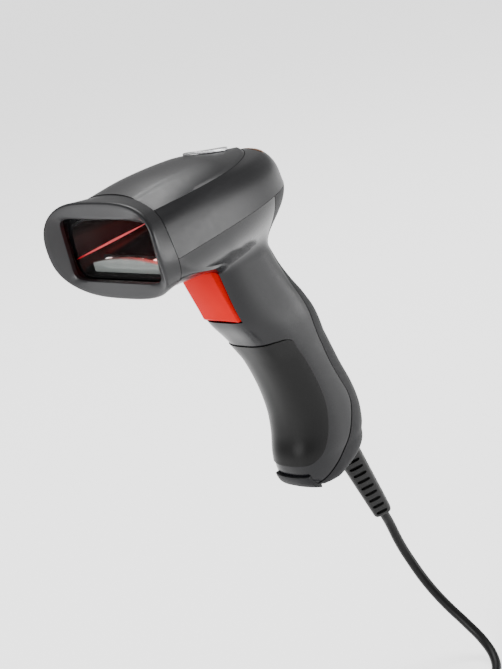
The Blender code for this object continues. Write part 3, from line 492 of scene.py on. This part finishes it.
def tongue_row(v, inset, narrower, lower, steps):
    """The +X half of one tongue section, from its edge to the centre line."""
    points, along = upper_row(v, inset)
    edge = points[-1]
    tongue_width = UPPER_LEVELS[-1][0]
    x_edge = edge.x * (1 - narrower / tongue_width)
    row = []
    for step in range(steps):
        share = 1 - step / (steps - 1)
        fill = 1 - share ** 2
        y = edge.y + fill * (SEAM_Y - seam_y(tongue_width)) * (1 - along)
        crown = crown_height(along) - inset - edge.z
        row.append(Vector((x_edge * share, y, edge.z + crown * (1 - share ** 2.2) - lower)))
    return row


def mirrored(half):
    """A +X half that ends on the centre line, and its mirror image."""
    return half + [Vector((-p.x, p.y, p.z)) for p in reversed(half[:-1])]


def upper_section(v, inset, pocket):
    side = smooth_line(upper_row(v, inset)[0], SIDE_STEPS)
    return mirrored(side + tongue_row(v, inset, 0.0, pocket, TONGUE_STEPS))


def upper_grid(inset, pocket):
    return [upper_section(index / ROWS, inset, pocket) for index in range(ROWS + 1)]


def sheet_solid(name, outer, inner, surface, crease=CREASE_ANGLE):
    """Closed solid between two grids of the same size, whose last rows fold shut."""
    rows, columns = len(outer), len(outer[0])
    points = [p for row in outer for p in row] + [p for row in inner for p in row]
    size = rows * columns
    faces = ring_faces(rows, columns, False)
    faces += [tuple(size + i for i in reversed(face)) for face in ring_faces(rows, columns, False)]
    border = [(r, 0) for r in range(rows - 1, 0, -1)]
    border += [(0, c) for c in range(columns)]
    border += [(r, columns - 1) for r in range(1, rows)]
    for (r0, c0), (r1, c1) in zip(border, border[1:]):
        a, b = r0 * columns + c0, r1 * columns + c1
        faces.append((b, a, a + size, b + size))
    return make_object(name, points, faces, surface, crease)


def indicator_outline(grow):
    """Rounded bar, swept back at its ends like the head's rear edge."""
    points = []
    for turn in turns(64):
        x = (INDICATOR_HALF[0] + grow) * power_of(math.sin(turn), 0.6)
        y = (INDICATOR_HALF[1] + grow) * power_of(math.cos(turn), 0.6)
        points.append((x, INDICATOR_Y + y - INDICATOR_SWEEP * x * x))
    return points


def upper_housing():
    shell = sheet_solid("upper_shell", upper_grid(0.0, TONGUE_STEP + GAP),
                        upper_grid(WALL + TONGUE_STEP, 0.0), HOUSING)
    return cut(shell, upright_cutter(indicator_outline(GAP)))


def indicator_lens():
    skin = sheet_solid("indicator_light", upper_grid(-INDICATOR_PROUD, 0.0),
                       upper_grid(INDICATOR_DEPTH, 0.0), AMBER)
    return keep(skin, upright_cutter(indicator_outline(0.0)))


def crease_drop(x, y):
    """How far the panel lies below its crown outside the crease near the nose."""
    fade = clamped((CREASE_END_Y - y) / CREASE_FADE)
    beyond = clamped((abs(x) - CREASE_X) / CREASE_WIDTH)
    return CREASE_DEPTH * fade * eased(beyond)


def inlay_grid(narrower, lift, lower, creased=False):
    """The panel's surface; lift raises it and draws in its edges, more so towards the rear."""
    grid = []
    for index in range(ROWS + 1):
        v = index / ROWS
        half = tongue_row(v, 0.0, narrower + lift * (0.5 + 1.4 * v), lower, 2 * TONGUE_STEPS)
        rise = lift * (0.35 + 1.3 * v ** 2)
        half = [Vector((p.x, p.y - narrower * v - 2.0 * lift * v * v, p.z + rise)) for p in half]
        if creased:
            half = [Vector((p.x, p.y, p.z - crease_drop(p.x, p.y))) for p in half]
        grid.append(mirrored(half))
    return grid


def top_inlay():
    """Raised panel, with a thin bevel between its edge and its top."""
    narrower = 1.3 * GAP
    top, edge = inlay_grid(narrower, 1.0, 0.0, True), inlay_grid(narrower, 0.0, 0.0)
    low = inlay_grid(narrower, 0.0, TONGUE_STEP - GAP)
    upper = [[edge_row[0], *top_row, edge_row[-1]] for top_row, edge_row in zip(top, edge)]
    lower = [[row[0], *row, row[-1]] for row in low]
    return sheet_solid("top_panel", upper, lower, INLAY, 28.0)


def badge():
    """Bright teardrop with a rounded rim, tip towards the nose."""
    outline = []
    for turn in turns(96):
        along = (1 - math.cos(turn)) / 2
        x = BADGE_HALF_WIDTH * math.sin(turn) * (0.25 + 0.75 * along) ** 0.9
        outline.append((x, BADGE_TIP_Y + BADGE_LENGTH * along))
    skin = sheet_solid("badge_plate", inlay_grid(GAP, 1.0, -1.4), inlay_grid(GAP, 1.0, -GAP), SILVER)
    keep(skin, upright_cutter(outline, (100.0, 140.0)))
    return rounded(skin, 0.5)


# ---------------------------------------------------------------- lower surface

def handle_ring(section, count):
    """Closed horizontal ring, starting at the rear and going over +X to the front."""
    height, front, rear, half = section
    centre, reach = (front + rear) / 2, (rear - front) / 2
    power = mix(HANDLE_POWER, NECK_POWER, clamped((height - NECK_START) / NECK_RUN))
    ring = []
    for turn in turns(count):
        ring.append(Vector((half * power_of(math.sin(turn), 2 / power),
                            centre + reach * power_of(math.cos(turn), 2 / power), height)))
    return ring


def top_ring(inset, side_steps, arc_steps):
    """The lower housing's top edge: parting line, then the seam's arc under the nose."""
    width, taper, rear, power, roundness = UPPER_LEVELS[0][:5]
    half = []
    for step in range(side_steps + 1):
        x, y, _ = outline_point(1 - step / side_steps, width - inset, taper, rear - inset, power, roundness)
        half.append(Vector((x, y, PARTING_Z - GAP / 2)))
    depth = PARTING_Z - NOSE_BOTTOM - inset
    for step in range(1, arc_steps + 1):
        turn = math.pi / 2 * step / arc_steps
        x = (HALF_WIDTH - inset) * max(math.cos(turn), 0.0) ** (2 / BELLY_POWER)
        z = PARTING_Z - GAP / 2 - depth * math.sin(turn) ** (2 / BELLY_POWER)
        half.append(Vector((x, seam_y(x), z)))
    return half + [Vector((-p.x, p.y, p.z)) for p in reversed(half[1:-1])]


def meridian(start, end, below, share, steps):
    """Points from the top edge down to the neck; share is 0 at the rear, 1 at the front."""
    forward = clamped((share - 0.45) / 0.3)
    turn = math.radians(84) * forward
    lead = Vector((-0.10 * math.copysign(1, start.x) * math.cos(turn),
                   math.sin(turn), -math.cos(turn)))
    reach = (end - start).length
    leave = start + lead * reach * mix(0.40, 0.50, forward)
    arrive = end - (below - end).normalized() * reach * mix(0.30, 0.10, forward)
    points = []
    for step in range(steps):
        t = step / steps
        points.append(start * (1 - t) ** 3 + leave * 3 * t * (1 - t) ** 2
                      + arrive * 3 * t * t * (1 - t) + end * t ** 3)
    return points


def lower_rings(inset, fine):
    """Rings of the lower housing and handle, from the parting line to the base."""
    top = top_ring(inset, 15 * FINE, 9 * FINE)
    count = len(top)
    sections = smooth_line([Vector(s[:3]) for s in HANDLE], 2 * fine)
    halves = smooth_line([Vector((s[3], 0, 0)) for s in HANDLE], 2 * fine)
    handle = []
    for section, half in zip(sections, halves):
        handle.append(handle_ring((section.x, section.y + inset, section.z - inset, half.x - inset), count))
    columns = []
    for index in range(count):
        share = min(index, count - index) / (count // 2)
        columns.append(meridian(top[index], handle[0][index], handle[fine][index], share, 8 * fine))
    rings = [[columns[i][step] for i in range(count)] for step in range(8 * fine)]
    return rings + handle + base_rings(handle[-1], inset, fine)


def base_height(y):
    """Height of the sloped underside of the base."""
    low_y, low_z = BASE_LOW
    front, rear = HANDLE[-1][1], HANDLE[-1][2]
    if y < low_y:
        drop = (max(y - front, 0.0) / (low_y - front)) ** 0.75
        return max(BASE_FLAT_Z, mix(BASE_FRONT_Z, low_z, drop))
    return max(BASE_FLAT_Z, mix(BASE_REAR_Z, low_z, clamped((rear - y) / (rear - low_y))))


def base_rings(last, inset, fine):
    """Rings from the handle's last one round the base's corner and in under the base."""
    middle = (HANDLE[-1][1] + HANDLE[-1][2]) / 2
    corner = smooth_line([(1.0, 0.0, 0.0)] + [(*pair, 0.0) for pair in BASE_CORNER], fine)[1:]
    rings = []
    for scale, share, _ in corner:
        ring = []
        for point in last:
            y = mix(middle, point.y, scale)
            ring.append(Vector((point.x * scale, y, mix(point.z, base_height(y) + inset, share))))
        rings.append(ring)
    return rings


def lower_shell(name, outer_inset, inner_inset, surface):
    """Closed shell of the lower housing and handle together."""
    outer, inner = lower_rings(outer_inset, FINE), lower_rings(inner_inset, 1)
    count = len(outer[0])
    points = [p for ring in outer for p in ring] + [p for ring in inner for p in ring]
    size = len(outer) * count
    faces = ring_faces(len(outer), count, True)
    faces += [tuple(size + i for i in reversed(f)) for f in ring_faces(len(inner), count, True)]
    for step in range(count):
        turn = (step + 1) % count
        faces.append((turn, step, step + size, turn + size))
    bottom = (len(outer) - 1) * count
    faces.append(tuple(range(bottom, bottom + count)))
    bottom = size + (len(inner) - 1) * count
    faces.append(tuple(range(bottom, bottom + count))[::-1])
    return make_object(name, points, faces, surface)


def seam_region(shift, front):
    """Cutter in front of the spine's seam, or behind it; shift moves the seam down and to the rear."""
    line = [(p.x + shift, p.y - shift) for p in smooth_line([(y, z, 0) for y, z in SPINE_SEAM], 6)]
    edge = -110.0 if front else 60.0
    return prism("cutter", [*line, (edge, line[-1][1]), (edge, SPINE_SEAM[0][1])], HEAD_CLEAR)


def seam_lip():
    """Strip inside the walls that backs the spine's seam, so that no light comes through it."""
    lip = lower_shell("seam_lip", *LIP_DEPTHS, HOOD)
    keep(lip, seam_region(LIP_REACH, True))
    return keep(lip, seam_region(-LIP_REACH, False))


def trigger_front(grow):
    """Front of the trigger seen from the side (y, z), down to its tip; grow widens it."""
    return [(-51.0 - grow, 72.6), (-50.2 - grow, 69.0), (-47.6 - grow, 60.5), (-44.8 - grow, 52.0),
            (-43.4 - grow, 47.4), (-42.8 - grow, 45.4), (-41.6 - grow, 44.4 - grow)]


def trigger_opening():
    """Cutter that follows the trigger's front and runs deep into the handle."""
    front = [(y, max(z, TRIGGER_OPENING_BOTTOM)) for y, z in trigger_front(TRIGGER_CLEARANCE)]
    rear = [(TRIGGER_OPENING_REAR, TRIGGER_OPENING_BOTTOM), (TRIGGER_OPENING_REAR, TRIGGER_OPENING_TOP),
            (-44.0, TRIGGER_OPENING_TOP)]
    return prism("cutter", front + rear, TRIGGER_SLOT)


def grip_region(grow):
    """Cutter round the finger grip, open to the front."""
    outline = [(y + grow if y > -59 else y, z) for y, z in GRIP_OUTLINE]
    outline = [(y, z + grow if z > 20 else z - grow if z < -35 else z) for y, z in outline]
    curve = smooth_line([(y, z, 0) for y, z in outline], 6)
    return prism("cutter", [(p.x, p.y) for p in curve], HANDLE_CLEAR)


def lower_housing():
    shell = lower_shell("handle_shell", 0.0, WALL, GLOSS)
    keep(shell, seam_region(-GAP, True))
    cut(shell, trigger_opening())
    pocket = lower_shell("cutter", -3.0, GRIP_DEPTH, GLOSS)
    keep(pocket, grip_region(GAP))
    return cut(shell, pocket)


def rear_spine():
    shell = lower_shell("spine_shell", 0.0, WALL, MATTE)
    keep(shell, seam_region(GAP, False))
    hole = [boot_ring(along, BOOT_HOLE, 28) for along in (BOOT_INSIDE[0], 20.0)]
    return cut(shell, loft("cutter", hole, MATTE))


def finger_grip():
    pad = lower_shell("grip_pad", -GRIP_PROUD, GRIP_DEPTH - GAP, SOFT)
    return keep(pad, grip_region(0.0))


def foot_tab():
    plate = lower_shell("foot_plate", -FOOT_PROUD, GAP, MATTE)
    outline = [(-60.0, -44.6), (-20.0, -44.9), (-15.4, -49.0), (-15.0, -75.0), (-60.0, -75.0)]
    return rounded(keep(plate, prism("cutter", outline, FOOT_HALF_WIDTH)), 0.35)


# ---------------------------------------------------------------- nose

def seam_loop(inset):
    """Closed loop of (x, z) round the housing's front seam, from the top centre."""
    side_steps = 2
    top = [(p.x, p.z) for p in upper_section(0.0, inset, 0.0)]
    middle = len(top) // 2
    arc = [(p.x, p.z) for p in top_ring(inset, side_steps, 10 * FINE)[side_steps:-1]]
    return top[middle::-1] + arc[1:-1] + top[:middle:-1]


def polar_point(x, z, half_x, half_z, power):
    """The point of a superellipse round the nose centre, at the angle of (x, z)."""
    turn = math.atan2(z - NOSE_Z, x)
    side, rise = abs(math.cos(turn)) / half_x, abs(math.sin(turn)) / half_z
    radius = (side ** power + rise ** power) ** (-1 / power)
    return radius * math.cos(turn), NOSE_Z + radius * math.sin(turn)


def rim_y(x, z):
    """The front rim runs forward at the sides and leans back towards the bottom."""
    middle = max(0.0, 1 - ((z - NOSE_Z) / RIM_HALF_HEIGHT) ** 2)
    return RIM_Y - RIM_ARCH * (x / HALF_WIDTH) ** 2 * middle + RIM_LEAN * (NOSE_Z - z)


def nose_bezel():
    """Ring at the nose: outer wall, front face, lip and the pocket of the window."""
    seam, inner = seam_loop(0.0), seam_loop(WALL)

    def rim_ring(shrink, depth):
        ring = []
        for x, z in seam:
            px, pz = polar_point(x, z, HALF_WIDTH - shrink, RIM_HALF_HEIGHT - shrink, RIM_POWER)
            ring.append(Vector((px, rim_y(px, pz) + depth, pz)))
        return ring

    def opening_ring(size, power, y):
        ring = []
        for x, z in seam:
            px, pz = polar_point(x, z, *size, power)
            ring.append(Vector((px, y, pz)))
        return ring

    def between(a, b, t):
        return [p.lerp(q, t) for p, q in zip(a, b)]

    inwards, rearwards = RIM_ROUND
    back = [Vector((x, seam_y(x) - GAP, z)) for x, z in seam]
    side = rim_ring(0.0, rearwards)
    rings = [between(back, side, step / 6) for step in range(7)]
    for step in range(1, 7):
        turn = math.pi / 2 * step / 6
        rings.append(rim_ring(inwards * (1 - math.cos(turn)), rearwards * (1 - math.sin(turn))))
    rim = rings[-1]
    face = opening_ring([half + OPENING_CHAMFER for half in OPENING], OPENING_POWER, OPENING_Y)
    rings += [between(rim, face, step / 5) for step in range(1, 6)]
    rings.append(opening_ring(OPENING, OPENING_POWER, OPENING_Y + OPENING_CHAMFER))
    rings.append(opening_ring(OPENING, OPENING_POWER, LIP_BACK_Y))
    rings.append(opening_ring(POCKET, POCKET_POWER, LIP_BACK_Y))
    rings.append(opening_ring(POCKET, POCKET_POWER, WINDOW_Y + WINDOW_THICKNESS))
    rings.append([Vector((x, seam_y(x) - GAP, z)) for x, z in inner])
    return loft("nose_ring", rings, HOUSING, closed=True, crease=40.0)


def lens_bar():
    """Clear bar with an arched top and rounded ends, over the light board."""
    low, high = LENS_HEIGHTS
    rings = []
    for y in LENS_DEPTHS:
        ring = []
        for step in range(25):
            x = mix(LENS_HALF_WIDTH, -LENS_HALF_WIDTH, step / 24)
            ring.append((x, y, high + LENS_ARCH * (1 - (x / LENS_HALF_WIDTH) ** 2)))
        ring += [(-LENS_HALF_WIDTH, y, low), (LENS_HALF_WIDTH, y, low)]
        rings.append(ring)
    return rounded(loft("light_lens", rings, LENS), 0.5)


def scan_line():
    """Open strip of light on the back of the window, narrower at both ends."""
    start, end = Vector(BEAM_START), Vector(BEAM_END)
    across = Vector((0, 0, 1))
    faces, points = [], []
    steps = 24
    for step in range(steps + 1):
        t = step / steps
        half = BEAM_HALF_WIDTH * math.sin(math.pi * min(1.0, t * 1.6 + 0.1) / 2) * (1 - t) ** 0.35 + 0.03
        middle = start.lerp(end, t)
        points += [middle - across * half, middle + across * half]
    for step in range(steps):
        a = step * 2
        faces.append((a, a + 1, a + 3, a + 2))
    return make_object("scan_light", points, faces, BEAM)


# ---------------------------------------------------------------- trigger, boot, cord

def trigger():
    """Pull trigger: a curved front with rounded edges."""
    front = smooth_line([(y, z, 0) for y, z in trigger_front(0.0)], 6)
    profile = [(p.x, p.y) for p in front] + list(TRIGGER_BACK)
    body = prism("pull_trigger", profile, TRIGGER_HALF_WIDTH, RED)
    return rounded(body, 1.7, 2, 40.0)


def boot_axis(along):
    start, end = Vector((0, *BOOT_TOP)), Vector((0, *BOOT_END))
    return start + (end - start).normalized() * along


def boot_length():
    return (Vector(BOOT_END) - Vector(BOOT_TOP)).length


def boot_frame():
    """The boot's axis and the two directions that its faces look in."""
    axis = (boot_axis(10) - boot_axis(0)).normalized()
    across = Matrix.Rotation(math.radians(BOOT_TURN), 3, axis) @ Vector((1, 0, 0))
    return axis, across, across.cross(axis)


def boot_ring(along, half, count):
    """Rounded square across the boot's axis."""
    _, across, deep = boot_frame()
    ring = []
    for turn in turns(count):
        wide = across * half * power_of(math.cos(turn), 0.5)
        tall = deep * half * power_of(math.sin(turn), 0.5)
        ring.append(boot_axis(along) + (wide + tall))
    return ring


def boot_half(along):
    return mix(*BOOT_HALVES, along / boot_length())


def boot_slot(along, axis, face, other):
    """Cutter for one rounded slot in the face that looks along face."""
    half = boot_half(along)
    rings = []
    for reach in (half - SLOT_DEPTH, half + 3.0):
        ring = []
        for turn in turns(24):
            wide = other * half * 0.62 * power_of(math.cos(turn), 0.55)
            tall = axis * SLOT_HALF_HEIGHT * power_of(math.sin(turn), 0.7)
            ring.append(boot_axis(along) + face * reach + wide + tall)
        rings.append(ring)
    return loft("cutter", rings, BOOT)


def strain_relief():
    """Tapered boot with rounded bending slots on its four faces."""
    inner, neck = BOOT_INSIDE
    top, end = BOOT_SHOULDER, boot_length() - BOOT_ROUND
    sizes = [(inner, BOOT_FLANGE), (neck, BOOT_FLANGE), (neck, BOOT_NECK), (top, BOOT_NECK),
             (top, boot_half(top) - 0.6), (top + 0.3, boot_half(top) - 0.2), (top + 0.9, boot_half(top))]
    for step in range(1, 21):
        along = mix(top + 0.9, end, step / 20)
        sizes.append((along, boot_half(along)))
    for step in range(1, 7):
        turn = math.pi / 2 * step / 6
        sizes.append((end + BOOT_ROUND * math.sin(turn), boot_half(end) - 1.6 * (1 - math.cos(turn))))
    boot = loft("cable_boot", [boot_ring(along, half, 72) for along, half in sizes], BOOT)
    axis, across, deep = boot_frame()
    for index in range(SLOTS):
        along = mix(top + 3.4, boot_length() - 4.6, index / (SLOTS - 1)) + SLOT_HALF_HEIGHT
        for face, other in ((across, deep), (deep, across)):
            for sign in (-1, 1):
                cut(boot, boot_slot(along, axis, face * sign, other))
    return boot


def coil_point(angle, reach, height):
    """Point on the coil; reach is counted from the middle of the bundle."""
    radius = COIL_RADIUS + reach
    return Vector((COIL_CENTRE[0] + radius * math.cos(angle), COIL_CENTRE[1] + radius * math.sin(angle),
                   CORD_Z + TIE_THICKNESS + height))


def coil_points():
    """Nine clockwise turns, each of which moves on at its end to the place of the next."""
    points = []
    for number, (reach, layer) in enumerate(STRANDS):
        next_reach, next_layer = STRANDS[min(number + 1, len(STRANDS) - 1)]
        for step in range(STEPS_PER_TURN):
            late = clamped((step - STEPS_PER_TURN + SHIFT_STEPS) / SHIFT_STEPS)
            height = LAYER_RISE * mix(layer, next_layer, eased(clamped(1.7 * late)))
            angle = -2 * math.pi * step / STEPS_PER_TURN
            points.append(coil_point(angle, mix(reach, next_reach, eased(late)), height))
    return points


def tail_points():
    """From the coil's top over its outer turns and down to the floor, towards the plug."""
    top = 2 * LAYER_RISE
    over = ((0.0, -2.6, top), (0.30, -1.6, top + 1.2), (0.62, 0.6, top + 3.4), (0.95, 3.4, top + 4.4),
            (1.25, 6.0, top + 2.8))
    middle = COIL_CENTRE[0]
    start, end = middle - TAIL_START, middle - TAIL_END
    down = ((middle - 2.0, top - 0.2), (middle - 12.0, top - 5.0), (start - 2.0, top - 9.0),
            (start - 12.0, -1.2), (start - 22.0, -1.5), (end - 2.0, -1.5))
    points = [coil_point(-turn, reach, height) for turn, reach, height in over]
    return points + [Vector((x, TAIL_Y, CORD_Z + TIE_THICKNESS + height)) for x, height in down]


def cord_points():
    """The centre line, from inside the boot to inside the plug."""
    direction = boot_frame()[0]
    start = boot_axis(boot_length() - 1.0)
    lead = [start, start + direction * 5.0, start + direction * 10.0, *CORD_ROUTE]
    lead = [Vector(p) for p in lead]
    return lead + coil_points() + tail_points()


def cord():
    """The whole cord as one round curve."""
    curve = bpy.data.curves.new("usb_cord", "CURVE")
    curve.dimensions = "3D"
    curve.bevel_depth = CORD_DIAMETER / 2 * MM
    curve.bevel_resolution = 5
    curve.use_fill_caps = True
    line = curve.splines.new("BEZIER")
    points = cord_points()
    line.bezier_points.add(len(points) - 1)
    for knot, point in zip(line.bezier_points, points):
        knot.co = point * MM
        knot.handle_left_type = "AUTO"
        knot.handle_right_type = "AUTO"
    line.resolution_u = 6
    curve.materials.append(CABLE)
    made = bpy.data.objects.new("usb_cord", curve)
    bpy.context.scene.collection.objects.link(made)
    return made


def cord_tie():
    """Soft band round the coil's bundle."""
    rings = []
    middle_x, middle_z = COIL_CENTRE[0] + COIL_RADIUS, FLOOR_Z + COIL_HALF_HEIGHT + TIE_THICKNESS
    section = [(GAP, -3.4), (GAP, 3.4), (0.9, 4.0), (TIE_THICKNESS, 3.2), (TIE_THICKNESS, -3.2), (0.9, -4.0)]
    for reach, y in section:
        ring = []
        for turn in turns(72):
            x = middle_x + (COIL_HALF_WIDTH + reach + 0.4) * power_of(math.cos(turn), 0.75)
            z = middle_z + (COIL_HALF_HEIGHT + reach) * power_of(math.sin(turn), 0.75)
            ring.append((x, COIL_CENTRE[1] + y, z))
        rings.append(ring)
    return loft("coil_tie", rings, TIE, closed=True)


def plug_grip():
    """Moulded grip of the USB plug, with ribs where the fingers hold it."""
    sections = smooth_line([(0, 2.6, 2.6), (5, 3.4, 3.1), (10, 6.0, 3.9), (12, 7.6, 4.1), (22, 7.8, 4.1),
                            (PLUG_LENGTH - 1, 7.8, 4.1), (PLUG_LENGTH, 7.2, 3.6)], 10)
    start_x = COIL_CENTRE[0] - TAIL_END - GAP
    first, last = PLUG_RIBS
    rings = []
    for along, half_y, half_z in sections:
        rib = 0.25 * max(0.0, math.sin((along - first) * 2.2)) if first < along < last else 0.0
        drop = 1.7 * max(0.0, 1 - along / 10.0)
        ring = []
        for turn in turns(64):
            y = TAIL_Y + (half_y - rib) * power_of(math.cos(turn), 0.6)
            z = PLUG_MIDDLE_Z - drop + (half_z - rib * 0.4) * power_of(math.sin(turn), 0.6)
            ring.append((start_x - along, y, z))
        rings.append(ring)
    return loft("plug_body", rings, CABLE)


# ---------------------------------------------------------------- camera, light, floor

def add_camera():
    """The camera looks down at the front and the +X side, and is rolled."""
    azimuth, elevation = math.radians(CAMERA_AZIMUTH), math.radians(CAMERA_ELEVATION)
    roll = math.radians(CAMERA_ROLL)
    back = Vector((math.sin(azimuth) * math.cos(elevation), -math.cos(azimuth) * math.cos(elevation),
                   math.sin(elevation)))
    right = Vector((math.cos(azimuth), math.sin(azimuth), 0))
    up = back.cross(right)
    right, up = (right * math.cos(roll) + up * math.sin(roll), up * math.cos(roll) - right * math.sin(roll))
    view = bpy.data.cameras.new("Camera")
    view.lens = 80.72
    view.sensor_width = 36.0
    view.clip_start = 0.01
    holder = bpy.data.objects.new("Camera", view)
    matrix = Matrix((right, up, back)).transposed().to_4x4()
    matrix.translation = Vector(CAMERA_PLACE) * MM
    holder.matrix_world = matrix
    bpy.context.scene.collection.objects.link(holder)
    bpy.context.scene.camera = holder


def softbox(name, location, target, size, power):
    """Rectangular lamp that faces the target; its places and sizes are in metres."""
    lamp = bpy.data.lights.new(name, "AREA")
    lamp.shape = "RECTANGLE"
    lamp.size, lamp.size_y = size
    lamp.energy = power
    holder = bpy.data.objects.new(name, lamp)
    holder.location = location
    holder.rotation_euler = (Vector(target) - Vector(location)).to_track_quat("-Z", "Y").to_euler()
    bpy.context.scene.collection.objects.link(holder)


def add_studio():
    """White surroundings, three lamps and a small red one behind the window."""
    world = bpy.data.worlds.new("Studio")
    world.use_nodes = True
    background = world.node_tree.nodes["Background"]
    background.inputs["Color"].default_value = (1, 1, 1, 1)
    background.inputs["Strength"].default_value = 0.5
    bpy.context.scene.world = world
    centre = (0, 0, 0.02)
    softbox("Key", (0.0, -1.4, 0.55), centre, (0.9, 0.6), 26)
    softbox("Top", (-0.45, 0.5, 1.2), centre, (0.9, 0.4), 17)
    softbox("Side", (0.9, 0.95, -0.05), centre, (0.3, 0.7), 14)
    glow = bpy.data.lights.new("Inside glow", "POINT")
    glow.energy = 0.05
    glow.color = (1.0, 0.02, 0.01)
    glow.shadow_soft_size = 0.002
    holder = bpy.data.objects.new("Inside glow", glow)
    holder.location = Vector((19.0, -82.0, 106.0)) * MM
    bpy.context.scene.collection.objects.link(holder)


def add_floor():
    """Wide white floor that gives off some light of its own."""
    mesh = bpy.data.meshes.new("floor")
    work = bmesh.new()
    bmesh.ops.create_grid(work, x_segments=20, y_segments=20, size=40.0)
    work.to_mesh(mesh)
    work.free()
    floor = bpy.data.objects.new("floor", mesh)
    floor.location = (0, 0, FLOOR_Z * MM)
    surface = finish("Floor", (0.86, 0.86, 0.86), 0.7, 0.0, mottle=0.004)
    shader = surface.node_tree.nodes["Principled BSDF"]
    shader.inputs["Emission Color"].default_value = (1, 1, 1, 1)
    shader.inputs["Emission Strength"].default_value = 1.5
    mesh.materials.append(surface)
    bpy.context.scene.collection.objects.link(floor)


# ---------------------------------------------------------------- assembly

def place(piece, body, slot, *nodes):
    """Put a piece on a body, instead of the CAD nodes named, if any. The slot is not used."""
    if nodes:
        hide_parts(*nodes)
    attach(piece, body)
    return piece


add_camera()
lead = place(cord(), "body", "cable", "cord_lead", "cord_coil", "cord_tail")
band = place(cord_tie(), "body", "cable", "cord_tie")
plug = place(plug_grip(), "body", "cable", "usb_plug_grip")

place(upper_housing(), "body", "housing", "upper_housing")
place(nose_bezel(), "body", "housing", "nose_bezel")
place(top_inlay(), "body", "inlay", "top_inlay")
place(badge(), "body", "badge", "badge")
place(indicator_lens(), "body", "indicator", "indicator_lens")
place(lower_housing(), "body", "handle", "lower_housing")
place(rear_spine(), "body", "spine", "rear_spine")
place(finger_grip(), "body", "soft_rubber", "finger_grip")
place(foot_tab(), "body", "spine", "foot_tab")
place(strain_relief(), "body", "boot", "strain_relief")
place(lens_bar(), "body", "clear", "lens_bar")
place(trigger(), "trigger", "trigger_red", "trigger")
place(seam_lip(), "body", "spine")
place(scan_line(), "body", "emitter")

CAD_FINISHES = {
    "scan_window": PANE, "window_gasket": SOFT, "inner_hood": HOOD, "lens_mount": HOOD, "beeper": HOOD,
    "lens_barrel": CHIP, "sensor_chip": CHIP, "decoder_chip": CHIP, "memory_chip": CHIP,
    "switch_body": CHIP, "switch_button": NYLON, "cable_socket": NYLON, "cable_plug": NYLON,
    "usb_insulator": NYLON, "usb_shell": STEEL, "trigger_pivot_pin": STEEL, "trigger_spring": STEEL,
    "grip_screw_upper": STEEL, "grip_screw_lower": STEEL, "switch_board": BOARD, "led_board": HOOD,
    "sensor_board": BOARD, "main_board": BOARD, "status_led": EMITTER, "handle_harness": CABLE,
}
LEDS = 4
for number in range(1, LEDS + 1):
    CAD_FINISHES[f"illumination_led_{number}"] = EMITTER
for node, surface in CAD_FINISHES.items():
    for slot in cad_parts[node].material_slots:
        slot.material = surface

add_floor()
add_studio()
